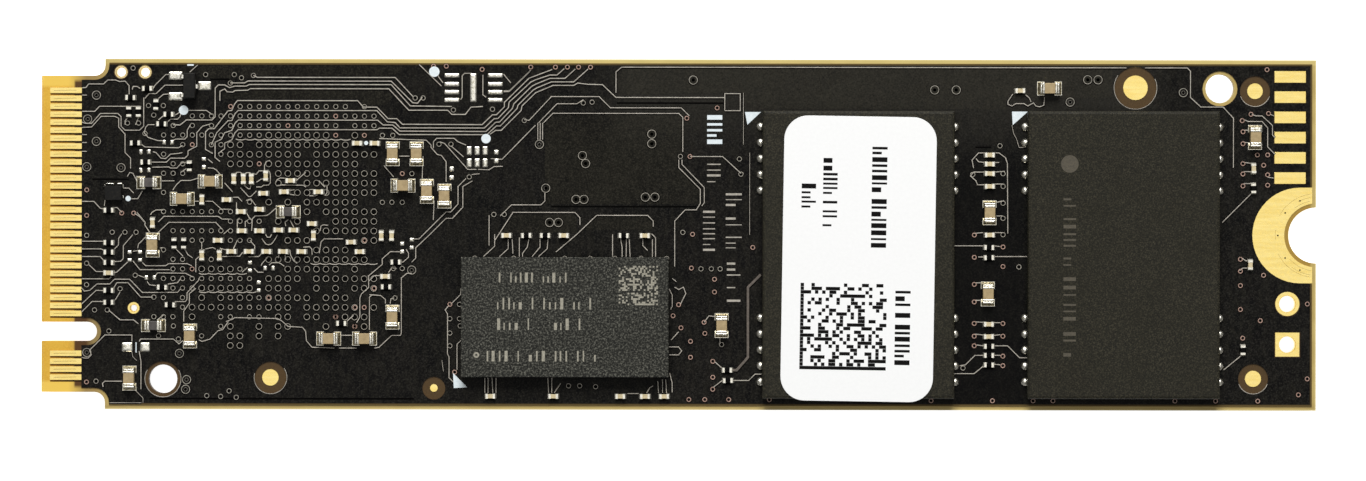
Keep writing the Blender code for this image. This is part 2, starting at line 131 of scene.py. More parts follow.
class Shape:
    """Collects closed solids in millimetres, then makes one piece of them."""

    def __init__(self, side=FRONT):
        self.side = side
        self.points, self.faces = [], []

    def loop(self, outline, height):
        start = len(self.points)
        self.points += [(x, y, height) for x, y in outline]
        return list(range(start, len(self.points)))

    def wall(self, low, high):
        for index, corner in enumerate(low):
            after = (index + 1) % len(low)
            self.faces.append((corner, low[after], high[after], high[index]))

    def stack(self, *layers):
        """A solid through outlines at rising heights, each given as outline, height."""
        loops = [self.loop(outline, height) for outline, height in layers]
        self.faces += [loops[0][::-1], loops[-1]]
        for low, high in zip(loops, loops[1:]):
            self.wall(low, high)

    def slab(self, outline, low, top):
        self.stack((outline, low), (outline, top))

    def block(self, x, y, length, width, low, top, turn=0.0, edge=0.03, radius=0.03):
        """A block with rounded upright corners and an eased upper rim."""
        body = placed(rounded(length, width, radius), x, y, turn)
        inner = placed(rounded(length - edge * 0.6, width - edge * 0.6, radius), x, y, turn)
        rim = placed(rounded(length - edge * 2, width - edge * 2, radius), x, y, turn)
        self.stack((body, low), (body, top - edge), (inner, top - edge * 0.3), (rim, top))

    def turned(self, x, y, profile, steps=16):
        """A ring or disc: profile is radius, height going round its section, outside first."""
        loops = [self.loop(circle(x, y, radius, steps), height) for radius, height in profile]
        for low, high in zip(loops, loops[1:] + loops[:1]):
            self.wall(low, high)

    def disc(self, x, y, radius, low, top, steps=16, edge=0.0):
        if edge:
            self.stack(
                (circle(x, y, radius, steps), low),
                (circle(x, y, radius, steps), top - edge),
                (circle(x, y, radius - edge, steps), top),
            )
        else:
            self.slab(circle(x, y, radius, steps), low, top)

    def ring(self, x, y, inner, outer, low, top, steps=14, slope=0.012):
        profile = ((outer, low), (outer - slope, top), (inner + slope, top), (inner, low))
        self.turned(x, y, profile, steps)

    def dome(self, x, y, across, up, low, height, steps=12, rings=4):
        """A solder lump with an oval foot."""
        layers = []
        for index in range(rings + 1):
            angle = pi / 2 * index / (rings + 0.35)
            outline = [(x + across * cos(angle) * cos(2 * pi * s / steps),
                        y + up * cos(angle) * sin(2 * pi * s / steps)) for s in range(steps)]
            layers.append((outline, low + height * sin(angle)))
        self.stack(*layers)

    def ball(self, x, y, radius, low, top, steps=10, rings=6):
        """A solder ball, pressed a little flat."""
        layers = []
        for index in range(rings + 1):
            angle = pi * (0.12 + 0.76 * index / rings)
            height = (low + top) / 2 - (top - low) / 2 * cos(angle) / cos(pi * 0.12)
            layers.append((circle(x, y, radius * sin(angle), steps), height))
        self.stack(*layers)

    def ribbon(self, path, width, low, top, slope=0.022, closed=False):
        """A raised line along a path, with sloping flanks and mitred bends."""
        count = len(path)
        rails = [[], [], [], []]
        for index, (x, y) in enumerate(path):
            before = path[index - 1] if index or closed else None
            after = path[(index + 1) % count] if index < count - 1 or closed else None
            normals = []
            for start, stop in ((before, (x, y)), ((x, y), after)):
                if start and stop:
                    length = hypot(stop[0] - start[0], stop[1] - start[1]) or 1.0
                    normals.append(((start[1] - stop[1]) / length, (stop[0] - start[0]) / length))
            across = sum(n[0] for n in normals) / len(normals)
            up = sum(n[1] for n in normals) / len(normals)
            reach = 1 / max(across * across + up * up, 0.35)
            half, edge = width / 2, width / 2 - slope
            for rail, (offset, height) in zip(rails, ((-half, low), (-edge, top), (edge, top), (half, low))):
                rail.append(len(self.points))
                self.points.append((x + across * reach * offset, y + up * reach * offset, height))
        for index in range(count if closed else count - 1):
            after = (index + 1) % count
            for rail, following in zip(rails, rails[1:] + rails[:1]):
                self.faces.append((rail[index], rail[after], following[after], following[index]))
        if not closed:
            self.faces.append([rail[0] for rail in rails])
            self.faces.append([rail[-1] for rail in rails][::-1])

    def make(self, name, material, slot=None, replaces=(), smooth=0.0):
        """The piece itself. smooth is the angle in degrees below which its faces blend."""
        mesh = bpy.data.meshes.new(name)
        points = [(x * MM, y * MM, z * MM * self.side) for x, y, z in self.points]
        faces = self.faces if self.side == FRONT else [tuple(face)[::-1] for face in self.faces]
        mesh.from_pydata(points, [], faces)
        mesh.materials.append(material)
        if smooth:
            mesh.shade_smooth()
            mesh.set_sharp_from_angle(angle=radians(smooth))
        piece = bpy.data.objects.new(name, mesh)
        bpy.context.scene.collection.objects.link(piece)
        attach(piece, "root")
        if replaces:
            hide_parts(*replaces)
        return piece


# ---------------------------------------------------------------- materials


def tone(red, green, blue):
    """A screen colour, 0 to 255, as the linear colour that a shader takes."""
    channels = [value / 255 for value in (red, green, blue)]
    return (*(c / 12.92 if c <= 0.04045 else ((c + 0.055) / 1.055) ** 2.4 for c in channels), 1.0)


class Look:
    """A procedural material, built from Object coordinates, which are metres in the CAD's frame."""

    def __init__(self, name, **sockets):
        self.material = bpy.data.materials.new(name)
        self.material.use_nodes = True
        self.tree = self.material.node_tree
        self.shader = self.tree.nodes["Principled BSDF"]
        for socket, value in sockets.items():
            self.shader.inputs[socket.replace("_", " ")].default_value = value
        self.place = self.node("ShaderNodeTexCoord").outputs["Object"]

    def node(self, kind, values=(), **settings):
        node = self.tree.nodes.new(kind)
        for key, value in settings.items():
            setattr(node, key, value)
        for key, value in dict(values).items():
            if isinstance(value, bpy.types.NodeSocket):
                self.tree.links.new(value, node.inputs[key])
            else:
                node.inputs[key].default_value = value
        return node

    def stretched(self, x, y, z=1.0):
        return self.node("ShaderNodeMapping", {"Vector": self.place, "Scale": (x, y, z)}).outputs["Vector"]

    def noise(self, per_mm, detail=3.0, rough=0.55, vector=None, offset=0.0):
        place = vector or self.place
        if offset:
            place = self.node("ShaderNodeMapping", {"Vector": place, "Location": (offset,) * 3}).outputs["Vector"]
        values = {"Vector": place, "Scale": per_mm / MM, "Detail": detail, "Roughness": rough}
        return self.node("ShaderNodeTexNoise", values).outputs["Fac"]

    def ramp(self, factor, *stops):
        """Colours or greys along a factor, each stop a position and a value."""
        node = self.node("ShaderNodeValToRGB", {"Fac": factor})
        elements = node.color_ramp.elements
        while len(elements) < len(stops):
            elements.new(0.5)
        for element, (position, value) in zip(elements, stops):
            element.position = position
            element.color = value if isinstance(value, tuple) else (value, value, value, 1.0)
        return node.outputs["Color"]

    def mix(self, factor, first, second, blend="MIX"):
        node = self.node("ShaderNodeMix", data_type="RGBA", blend_type=blend)
        for index, value in ((0, factor), (6, first), (7, second)):
            if isinstance(value, bpy.types.NodeSocket):
                self.tree.links.new(value, node.inputs[index])
            else:
                node.inputs[index].default_value = value
        return node.outputs[2]

    def maths(self, operation, first, second=0.0, clamp=False):
        node = self.node("ShaderNodeMath", {0: first, 1: second}, operation=operation, use_clamp=clamp)
        return node.outputs[0]

    def product(self, first, *others):
        for other in others:
            first = self.maths("MULTIPLY", first, other)
        return first

    def size(self, value):
        return self.maths("ABSOLUTE", value)

    def axis(self, name):
        return self.node("ShaderNodeSeparateXYZ", {"Vector": self.place}).outputs[name]

    def reach(self, x, y):
        """The distance from x, y in the board's plane."""
        flat = self.node("ShaderNodeVectorMath", {0: self.place, 1: (1, 1, 0)}, operation="MULTIPLY").outputs[0]
        node = self.node("ShaderNodeVectorMath", {0: flat, 1: (x * MM, y * MM, 0)}, operation="DISTANCE")
        return node.outputs["Value"]

    def band(self, value, start, stop):
        """0 below start and 1 above stop, both in millimetres."""
        values = {"Value": value, "From Min": start * MM, "From Max": stop * MM}
        return self.node("ShaderNodeMapRange", values, clamp=True).outputs["Result"]

    def finish(self, colour, roughness=None, bumps=()):
        """Links the colour, the roughness, and bumps given as height, depth in millimetres."""
        self.tree.links.new(colour, self.shader.inputs["Base Color"])
        if roughness is not None:
            self.tree.links.new(roughness, self.shader.inputs["Roughness"])
        normal = None
        for height, depth in bumps:
            values = {"Height": height, "Distance": depth * MM, "Strength": 1.0}
            if normal:
                values["Normal"] = normal
            normal = self.node("ShaderNodeBump", values).outputs["Normal"]
        if normal:
            self.tree.links.new(normal, self.shader.inputs["Normal"])
        return self.material


def mottled(name, dark, light, per_mm=1.5, rough=(0.4, 0.55), bump=0.0, bump_per_mm=20, contrast=0.3, **sockets):
    """A plain finish: two close tones mixed by noise, uneven gloss and fine relief."""
    look = Look(name, **sockets)
    patches = look.noise(per_mm, 4.0)
    grain = look.noise(bump_per_mm, 2.0, 0.6, offset=3.1)
    both = look.maths("ADD", look.maths("MULTIPLY", patches, 0.6), look.maths("MULTIPLY", grain, 0.4))
    colour = look.ramp(both, (0.5 - contrast / 2, dark), (0.5 + contrast / 2, light))
    gloss = look.ramp(patches, (0.3, rough[0]), (0.7, rough[1]))
    return look.finish(colour, gloss, ((grain, bump),) if bump else ())


def laminate_look():
    """Amber glass-epoxy: golden on the tongue, paler at the routed rim, with painted light on its edges, a faint weave,
    brown over inner copper.
    """
    look = Look("laminate_look", Specular_IOR_Level=0.25)
    x, y = look.axis("X"), look.axis("Y")
    beside = look.size(y)
    from_notch = look.reach(*NOTCH)
    fine = look.noise(9.0, 3.0)
    broad = look.noise(0.8, 3.0, offset=1.7)
    threads = {"Vector": look.place, "Scale": 1.05 / MM / 6.28, "Distortion": 1.5}
    warp, weft = (look.node("ShaderNodeTexWave", threads, bands_direction=way).outputs["Fac"] for way in "XY")
    weave = look.maths("MULTIPLY", look.maths("ADD", warp, weft), 0.5)
    amber = look.mix(weave, tone(209, 158, 48), tone(221, 174, 60))
    amber = look.mix(look.ramp(fine, (0.35, 0.0), (0.7, 1.0)), amber, tone(226, 180, 66))
    amber = look.mix(look.band(beside, 9.15, 9.35), amber, tone(238, 198, 86))
    rim = look.mix(look.ramp(broad, (0.3, 0.0), (0.7, 1.0)), tone(176, 152, 88), tone(196, 173, 106))
    # Painted light and shade: the rim is painted lighter along the upper (+Y) edge and duller along the lower edge, for
    # light falling from +Y.
    rim = look.mix(look.maths("MULTIPLY", look.band(y, 10.6, 10.72), 0.55), rim, tone(218, 198, 126))
    rim = look.mix(look.maths("MULTIPLY", look.band(y, -10.60, -10.72), 0.5), rim, tone(178, 154, 94))
    colour = look.mix(look.band(x, 3.4, 4.3), look.mix(look.band(x, 1.7, 2.8), amber, tone(158, 131, 76)), rim)
    colour = look.mix(look.band(look.reach(*KEY_SLOT), 0.95, 0.80), colour, tone(146, 124, 76))
    # The first inner copper layer begins 2.07 mm in, and it shows brown through the tongue.
    from_slot = look.size(look.maths("ADD", y, 6.125))
    inner = look.product(look.band(x, 2.02, 2.14), look.band(beside, 9.72, 9.50), look.band(from_slot, 0.90, 1.04),
                         look.band(x, 3.3, 2.8))
    colour = look.mix(inner, colour, tone(84, 54, 20))
    # Away from the outline, the notch and one tooling hole, inner planes darken the bare laminate.
    inland = look.product(look.band(beside, 10.58, 10.50), look.band(x, 4.2, 4.4), look.band(x, 79.6, 79.5),
                          look.band(from_notch, 2.30, 2.40), look.band(look.reach(73.95, 9.2), 1.15, 1.25))
    colour = look.mix(inland, colour, look.mix(fine, tone(60, 43, 18), tone(90, 68, 36)))
    notch = look.maths("MULTIPLY", look.band(from_notch, 2.30, 2.10), look.band(x, 79.70, 79.60))
    colour = look.mix(notch, colour, look.mix(fine, tone(150, 118, 44), tone(178, 144, 66)))
    # Painted highlight along the card's outermost edge.
    outer = look.maths("MAXIMUM", look.band(beside, 10.91, 10.95), look.band(x, 79.91, 79.95))
    colour = look.mix(look.maths("MULTIPLY", outer, 0.5), colour, tone(236, 222, 160))
    rough = look.ramp(fine, (0.3, 0.42), (0.7, 0.58))
    return look.finish(colour, rough, ((weave, 0.006), (fine, 0.004)))


def mask_look(name, dark, light, grain):
    """Black solder mask, a little uneven, with the copper below showing as low relief, and with painted light and
    shade.
    """
    look = Look(name, Specular_IOR_Level=0.05)
    broad = look.noise(0.35, 4.0, 0.6)
    streaks = look.noise(3.0, 3.0, 0.6, vector=look.stretched(1.0, 0.35))
    fine = look.noise(11.0, 3.0, 0.7, offset=2.3)
    base = look.ramp(broad, (0.35, dark), (0.65, light))
    # Painted light makes it paler towards the far part's upper edge, and painted shade darkens it between the two large
    # packages.
    x, y = look.axis("X"), look.axis("Y")
    pale = look.product(look.band(y, 4.5, 8.5), look.band(look.size(look.maths("SUBTRACT", x, 53.0 * MM)), 18.0, 16.0),
                        0.32)
    base = look.mix(pale, base, tone(62, 60, 53))
    deep = look.product(look.band(look.size(look.maths("SUBTRACT", x, 59.55 * MM)), 3.0, 1.8), look.band(y, 6.5, 3.5),
                        0.6)
    colour = look.mix(look.ramp(streaks, (0.4, 0.0), (0.7, 0.5)), base, tone(36, 34, 28))
    colour = look.mix(look.ramp(fine, (0.48, 0.0), (0.72, 0.85)), colour, grain)
    colour = look.mix(look.ramp(fine, (0.30, 0.7), (0.44, 0.0)), colour, tone(6, 6, 6))
    colour = look.mix(deep, colour, tone(3, 3, 3))
    # Along its own edge the mask turns brown.
    far = look.maths("MAXIMUM", look.band(look.size(y), 10.60, 10.68), look.band(x, 79.60, 79.68))
    colour = look.mix(look.maths("MULTIPLY", far, 0.85), colour, tone(104, 86, 50))
    rough = look.ramp(fine, (0.3, 0.34), (0.7, 0.46))
    return look.finish(colour, rough, ((fine, 0.003), (streaks, 0.002)))


def gold_look(name, dark, light, rough=(0.24, 0.34), drag=None):
    """Gold plating with faint wipe lines along the card."""
    look = Look(name, Metallic=1.0)
    lines = look.noise(6.0, 4.0, 0.6, vector=look.stretched(*(drag or (0.12, 1.0))))
    spots = look.noise(5.0, 3.0, 0.6, offset=4.4)
    colour = look.ramp(look.maths("ADD", look.maths("MULTIPLY", lines, 0.65), look.maths("MULTIPLY", spots, 0.35)),
                       (0.38, dark), (0.60, light))
    gloss = look.ramp(spots, (0.3, rough[0]), (0.7, rough[1]))
    return look.finish(colour, gloss, ((lines, 0.0008), (spots, 0.0004)))


def tin_look():
    """Reflowed solder: bright, with a slightly rippled skin."""
    look = Look("tin_look", Metallic=1.0)
    ripple = look.noise(7.0, 3.0, 0.55)
    grain = look.noise(30.0, 2.0, 0.5, offset=1.1)
    colour = look.ramp(ripple, (0.30, tone(186, 180, 158)), (0.52, tone(244, 240, 227)))
    rough = look.ramp(grain, (0.3, 0.22), (0.7, 0.38))
    return look.finish(colour, rough, ((ripple, 0.02), (grain, 0.003)))


def epoxy_look(name, dark, middle, light, per_mm, depth, rough=(0.60, 0.68)):
    """Moulding compound: filler grains give a fine speckle, and broad patches vary the gloss."""
    look = Look(name, Specular_IOR_Level=0.22)
    grains = look.noise(per_mm, 2.0, 0.7)
    broad = look.noise(0.5, 3.0, 0.5, offset=5.3)
    colour = look.ramp(grains, (0.32, dark), (0.5, middle), (0.70, light))
    colour = look.mix(look.ramp(broad, (0.35, 0.0), (0.65, 0.25)), colour, middle)
    gloss = look.ramp(broad, (0.3, rough[0]), (0.7, rough[1]))
    return look.finish(colour, gloss, ((grains, depth),))


def paper_look():
    look = Look("label_look", Specular_IOR_Level=0.3)
    fibres = look.noise(5.0, 4.0, 0.6)
    fine = look.noise(30.0, 2.0, 0.5, offset=2.2)
    colour = look.ramp(fibres, (0.3, (0.93, 0.93, 0.92, 1)), (0.7, (0.96, 0.96, 0.95, 1)))
    return look.finish(colour, look.ramp(fine, (0.3, 0.50), (0.7, 0.62)), ((fibres, 0.002), (fine, 0.001)))


def contact_shadow_paint_look():
    """Painted shadow along the lower foot of each contact: amber at the card's tip, nearly black towards the mask."""
    look = Look("contact_shadow_paint_look", Specular_IOR_Level=0.1)
    along = look.band(look.axis("X"), 0.6, 1.7)
    grain = look.noise(8.0, 3.0)
    colour = look.mix(along, tone(116, 74, 24), tone(20, 12, 5))
    colour = look.mix(look.ramp(grain, (0.4, 0.0), (0.7, 0.25)), colour, tone(120, 84, 34))
    return look.finish(colour, look.ramp(grain, (0.3, 0.6), (0.7, 0.7)), ((grain, 0.002),))


LAMINATE = laminate_look()
MASK = mask_look("solder_mask_look", tone(6, 6, 7), tone(16, 15, 14), tone(52, 50, 45))
# Mask over traces and via lands is raised; its pale tone is a painted sheen for the light that the raised edges catch.
RAISED_SHEEN = mottled("raised_mask_painted_sheen", tone(142, 136, 125), tone(190, 183, 170), 3.0, (0.35, 0.5), 0.002, 12)
RING_SHEEN = mottled("land_ring_painted_sheen", tone(126, 121, 110), tone(174, 168, 154), 3.0, (0.35, 0.5), 0.002, 12)
BROAD = mottled("mask_over_broad_trace", tone(78, 70, 62), tone(108, 98, 88), 3.0, (0.35, 0.5), 0.002, 12)
PLANE = mask_look("mask_over_plane", tone(16, 15, 13), tone(26, 25, 20), tone(58, 55, 47))
GROOVE = mottled("mask_in_gap", tone(3, 3, 3), tone(8, 7, 6), 2.0, (0.5, 0.65), 0.002, 12,
                 Specular_IOR_Level=0.02)
# Painted shadow: dark strips and patches laid on the mask along traces, round vias and under small parts.
SHADOW_PAINT = mottled("shadow_paint_look", tone(4, 4, 4), tone(12, 11, 9), 3.0, (0.5, 0.65), 0.002, 12,
               Specular_IOR_Level=0.02)
GOLD = gold_look("gold_look", tone(243, 214, 124), tone(252, 228, 146))
GOLD_PALE = gold_look("gold_pale_look", tone(206, 182, 126), tone(232, 212, 158))
GOLD_FLANK = gold_look("gold_flank_look", tone(206, 158, 62), tone(232, 188, 88))
GOLD_WORN = mottled("gold_worn_look", tone(120, 92, 36), tone(176, 142, 66), 5.0, (0.5, 0.65), 0.002, 20)
CONTACT_SHADOW_PAINT = contact_shadow_paint_look()
FILLET = mottled("solder_fillet_look", tone(124, 112, 80), tone(236, 226, 194), 7.0, (0.30, 0.45), 0.02, 7,
                 Metallic=1.0)
COPPER = mottled("copper_look", tone(150, 82, 52), tone(184, 112, 76), 2.0, (0.35, 0.5), 0.002, 15, Metallic=1.0)
COPPER_VIA = mottled("mask_over_via", tone(140, 112, 98), tone(184, 152, 136), 3.0, (0.35, 0.5), 0.002, 15)
TIN = tin_look()
TIN_END = mottled("small_end_look", tone(234, 228, 208), tone(254, 251, 240), 9.0, (0.38, 0.50), 0.012, 14,
                  Metallic=0.80)
CERAMIC = mottled("ceramic_look", tone(154, 133, 94), tone(182, 160, 118), 4.0, (0.42, 0.58), 0.004, 25)
CREAM = mottled("ceramic_pale_look", tone(188, 172, 130), tone(220, 204, 166), 6.0, (0.42, 0.58), 0.004, 25)
RESISTOR = mottled("resistor_look", tone(3, 2, 2), tone(10, 9, 8), 4.0, (0.45, 0.6), 0.003, 25,
                   Specular_IOR_Level=0.06)
FERRITE = mottled("ferrite_look", tone(60, 56, 53), tone(88, 82, 78), 4.0, (0.45, 0.6), 0.004, 25)
EPOXY_NAND = epoxy_look("epoxy_nand_look", tone(16, 15, 8), tone(32, 30, 20), tone(64, 60, 46), 11.0, 0.005)
EPOXY_DRAM = epoxy_look("epoxy_dram_look", tone(4, 4, 3), tone(37, 37, 32), tone(112, 111, 101), 8.5, 0.016)
EPOXY_PLAIN = epoxy_look("epoxy_plain_look", tone(3, 3, 2), tone(12, 11, 9), tone(34, 31, 24), 9.0, 0.005,
                         (0.5, 0.65))
EPOXY_CHIP = epoxy_look("epoxy_chip_look", tone(16, 16, 15), tone(34, 34, 32), tone(66, 65, 61), 12.0, 0.006)
SUBSTRATE = mottled("substrate_look", tone(40, 46, 30), tone(62, 66, 44), 3.0, (0.4, 0.55), 0.004, 20)
SILICON = mottled("silicon_look", tone(88, 92, 104), tone(112, 116, 128), 3.0, (0.15, 0.25), 0.001, 30)
STEEL = mottled("crystal_steel_look", tone(196, 192, 182), tone(224, 220, 210), 3.0, (0.26, 0.38), 0.002, 25,
                Metallic=1.0)
PAPER = paper_look()
INK = mottled("label_ink", tone(5, 4, 4), tone(14, 12, 11), 6.0, (0.5, 0.65), 0.001, 30, Specular_IOR_Level=0.1)
SILK = mottled("silkscreen_ink", tone(214, 226, 230), tone(236, 244, 246), 5.0, (0.5, 0.65), 0.004, 25)
LASER_DRAM = mottled("laser_mark_pale", tone(128, 124, 110), tone(176, 171, 154), 8.0, (0.6, 0.8), 0.004, 25)
LASER_NAND = mottled("laser_mark_dim", tone(62, 57, 46), tone(92, 85, 70), 8.0, (0.6, 0.8), 0.004, 25)


def dress_cad_nodes():
    """Gives every carried-over CAD node its procedural material."""
    looks = {
        "circuit_board": LAMINATE, "solder_mask": MASK, "copper_pour": COPPER, "mounting_pad": GOLD,
        "edge_contacts": GOLD, "nand": EPOXY_NAND, "dram": EPOXY_DRAM, "controller": EPOXY_CHIP,
        "power_manager": EPOXY_CHIP, "load_switch": EPOXY_PLAIN, "clock_crystal": STEEL,
        "capacitor": CERAMIC, "ferrite_bead": FERRITE, "power_inductor": FERRITE, "transistor": EPOXY_PLAIN,
        "label": PAPER,
    }
    for name, node in nodes.items():
        look = next(value for key, value in looks.items() if name.startswith(key))
        look = SUBSTRATE if name.endswith("_substrate") else SILICON if name.endswith("_dies") else look
        node.data.materials.clear()
        node.data.materials.append(look)


dress_cad_nodes()

# ---------------------------------------------------------------- lines and vias of the front

# The relief that copper gives the mask above it: lines stand up with a painted pale sheen, and strips of painted shadow
# run along their feet, set a little towards -Y.
LINE_LOW, LINE_TOP = 0.404, 0.419
LINE_WIDTH, BUS_WIDTH, FINE_WIDTH, SCALLOP_WIDTH, BROAD_WIDTH, GAP_WIDTH = 0.078, 0.084, 0.055, 0.08, 0.18, 0.12
BACK_WIDTH, BACK_FINE_WIDTH = 0.1, 0.09
SHADOW_PAINT_TOP = MASK_TOP + 0.003

# Traces under the mask, each a flat row of x, y.
CONNECTOR_TRACES = (
    (2.55, 9.15, 2.8, 9.18, 2.95, 9.4, 3.9, 9.4, 4.15, 9.65, 4.65, 9.65, 4.9, 9.55, 5.25, 9.58, 5.5, 9.3, 5.5, 8.75),
    (2.55, 8.7, 2.85, 8.7), (2.55, 6.22, 2.85, 6.22), (2.55, 5.72, 2.85, 5.72), (2.55, 5.17, 2.85, 5.17),
    (2.55, 7.0, 2.75, 6.93, 3.15, 6.93, 3.7, 7.55, 4.8, 7.55, 5.0, 7.35, 5.0, 6.75, 5.25, 6.5, 6.15, 6.5, 6.42, 6.75,
     6.42, 8.55),
    (2.55, 6.67, 3.15, 6.7, 3.75, 7.37, 4.6, 7.37, 4.85, 7.25, 4.85, 6.7, 5.25, 6.25, 5.25, 5.1, 5.6, 4.75, 5.6, 4.1),
    (5.7, 9.05, 5.75, 9.25, 6.0, 9.25, 6.2, 9.12), (5.25, 6.85, 5.25, 7.1, 5.4, 7.25), (5.9, 6.85, 6.1, 7.3),
    (7.0, 9.1, 7.1, 9.3, 7.8, 10.0, 8.0, 10.0), (6.5, 8.5, 6.75, 8.8, 7.2, 8.8, 7.75, 9.33, 8.9, 9.33),
    (7.35, 8.5, 7.65, 8.75, 8.0, 8.78),
    (7.1, 6.85, 6.7, 6.85, 6.55, 6.7, 6.45, 6.35, 6.7, 6.05, 7.0, 5.95, 7.3, 5.85, 7.6, 5.85),
    (8.2, 5.85, 8.45, 5.95, 9.0, 5.95, 9.15, 6.1, 9.15, 6.5, 9.35, 6.85), (7.35, 7.15, 7.75, 7.5),
    (7.95, 7.05, 8.1, 7.2, 8.55, 7.2, 8.7, 7.35, 8.75, 7.55), (9.2, 7.75, 10.35, 7.75, 10.7, 7.5),
    (8.4, 7.45, 8.7, 7.65), (9.3, 10.15, 9.8, 10.6), (10.6, 6.9, 10.1, 6.75, 9.75, 6.35, 9.75, 5.5, 9.45, 5.35),
    (7.0, 5.15, 7.2, 5.1, 7.5, 4.75, 7.8, 4.72, 8.1, 5.0, 8.6, 5.05, 8.85, 5.1),
    (6.95, 4.5, 7.85, 4.5, 8.1, 4.75, 9.0, 4.75, 9.2, 4.95, 9.2, 5.2, 9.45, 5.35),
    (6.95, 4.18, 8.0, 4.2, 8.1, 4.13, 8.5, 4.13, 8.8, 4.45, 9.1, 4.5), (8.75, 3.85, 9.1, 4.1),
    (6.3, 5.6, 6.5, 5.45, 8.6, 5.4, 8.85, 5.55), (7.55, 3.32, 8.35, 3.33),
    (8.25, 2.75, 8.45, 3.05, 8.75, 3.35, 9.35, 3.35, 9.85, 3.5), (10.45, 4.7, 10.75, 4.45),
    (10.45, 4.15, 10.8, 4.12, 11.0, 4.0, 11.2, 3.75), (11.5, 3.2, 12.0, 2.65),
    (12.5, 2.9, 13.0, 2.35, 13.15, 2.35, 13.5, 2.7), (9.6, 2.05, 9.9, 2.05),
    (10.3, 2.05, 10.75, 2.05, 11.3, 1.55, 11.9, 1.55), (12.05, 2.3, 12.35, 2.3, 12.6, 2.05),
    (12.85, 2.1, 13.15, 2.2, 13.45, 1.8), (6.85, 1.2, 6.95, 1.35, 7.2, 1.5, 7.65, 1.5),
    (7.35, 0.75, 7.7, 1.1, 11.1, 1.1, 11.35, 0.93, 11.85, 0.93), (7.35, 0.1, 8.0, 0.72, 10.95, 0.72, 11.35, 0.3),
    (6.0, 1.35, 6.5, 0.75, 6.5, 0.55, 6.8, 0.1), (11.45, 0, 11.85, 0.35), (12.3, 0.4, 12.3, 0.9, 12.45, 1.0),
    (13.2, 0.2, 13.25, 0.95, 13.42, 1.13, 14.15, 1.16, 14.3, 1.25, 14.75, 1.65),
    (2.55, 2.03, 3.3, 2.03, 3.7, 1.6, 3.95, 1.55), (3.95, 1.75, 4.0, 2.1, 4.1, 2.3),
    (4.6, 1.65, 4.75, 1.65, 5.05, 1.35), (5.15, 2.87, 5.5, 2.87, 5.8, 2.55), (5.65, 2.2, 6.05, 2.2, 6.35, 2.7),
    (5.4, 3.6, 5.55, 3.85, 5.75, 3.8, 6.0, 3.3), (5.85, 1.3, 6.2, 1.05, 6.55, 0.65), (2.55, -0.47, 3.95, -0.47),
    (2.55, -0.95, 3.75, -0.95, 3.95, -1.05), (2.55, -1.43, 3.7, -1.43, 3.95, -1.7),
    (3.0, -1.95, 3.45, -2.37, 3.95, -2.37), (2.55, -2.83, 4.25, -2.83, 4.4, -2.7),
    (2.55, -3.4, 2.7, -3.6, 3.05, -3.55, 3.5, -3.15, 4.3, -3.15, 4.6, -2.85, 5.55, -2.85, 6.35, -3.68, 8.55, -3.67,
     8.75, -3.45), (2.55, -4.4, 3.45, -3.55, 3.95, -3.57),
    (4.55, -3.4, 4.75, -3.07, 5.45, -3.07, 6.25, -3.97, 7.0, -3.97), (4.95, -3.65, 4.65, -4.15),
    (2.55, -4.9, 3.2, -4.25, 3.95, -4.25), (4.25, -4.8, 4.95, -5.4, 5.8, -5.4, 6.1, -5.65),
    (4.6, -0.95, 4.85, -0.7, 4.85, -0.3, 5.05, 0.0), (5.75, -0.05, 5.15, -0.75, 5.15, -1.55, 5.0, -1.72, 4.6, -1.75),
    (4.6, -2.45, 4.75, -2.4, 5.45, -1.75), (5.75, -1.1, 6.1, -1.05), (5.75, -1.7, 6.2, -2.25, 8.05, -2.25),
    (6.35, -1.8, 6.55, -2.0, 7.8, -2.0, 8.0, -1.87, 9.15, -1.87, 9.45, -2.0), (6.1, -2.6, 6.5, -2.75),
    (7.15, -2.65, 7.3, -2.45, 9.05, -2.47, 9.5, -2.7), (6.65, -3.0, 6.8, -3.2, 7.2, -3.25),
    (7.95, -3.15, 8.55, -3.07, 8.75, -2.8), (7.45, -0.9, 7.6, -0.85), (6.55, -0.2, 6.1, -0.65, 6.05, -0.9),
    (7.67, -5.1, 7.35, -5.35), (8.4, -4.25, 9.05, -4.25, 9.15, -4.1, 9.15, -3.7, 9.85, -2.95, 9.95, -2.7),
    (8.95, -5.5, 8.95, -4.85, 9.3, -4.35, 9.3, -3.75, 9.7, -3.42), (8.45, -0.95, 8.9, -1.4),
    (9.0, -0.95, 9.2, -1.3, 9.5, -1.5), (10.3, -0.95, 10.75, -0.85, 10.95, -0.95), (11.2, -0.9, 11.6, -1.0),
    (9.7, -2.4, 9.7, -1.6, 9.95, -1.4), (11.25, -1.42, 12.45, -1.4, 12.65, -1.15), (12.3, -0.4, 12.05, -0.95),
    (13.1, -0.4, 13.4, -0.75, 13.4, -1.0), (13.0, -1.43, 13.65, -1.42, 13.8, -1.25), (12.6, -2.4, 12.95, -2.1),
    (13.35, -2.15, 13.6, -2.4, 13.95, -2.4),
    (11.6, -5.5, 12.0, -5.35, 12.15, -5.25, 14.8, -5.3, 15.1, -5.45, 15.5, -5.8, 16.4, -5.85, 16.6, -6.1, 16.65, -6.7,
     17.0, -7.1, 18.4, -7.15),
    (2.55, -7.75, 2.7, -7.8, 2.95, -7.8, 3.15, -7.6, 3.05, -7.3, 4.0, -6.35, 5.7, -6.35, 5.7, -6.75),
    (3.9, -9.6, 3.85, -9.4, 4.0, -9.25, 5.1, -9.25), (6.15, -6.75, 6.25, -6.6, 8.3, -6.6, 8.65, -6.9, 8.9, -6.7),
    (9.9, -6.65, 10.1, -6.75, 10.6, -6.6, 11.1, -6.07, 11.4, -6.0, 11.75, -5.5),
    (6.15, -7.35, 6.27, -8.0, 6.27, -9.75),
)
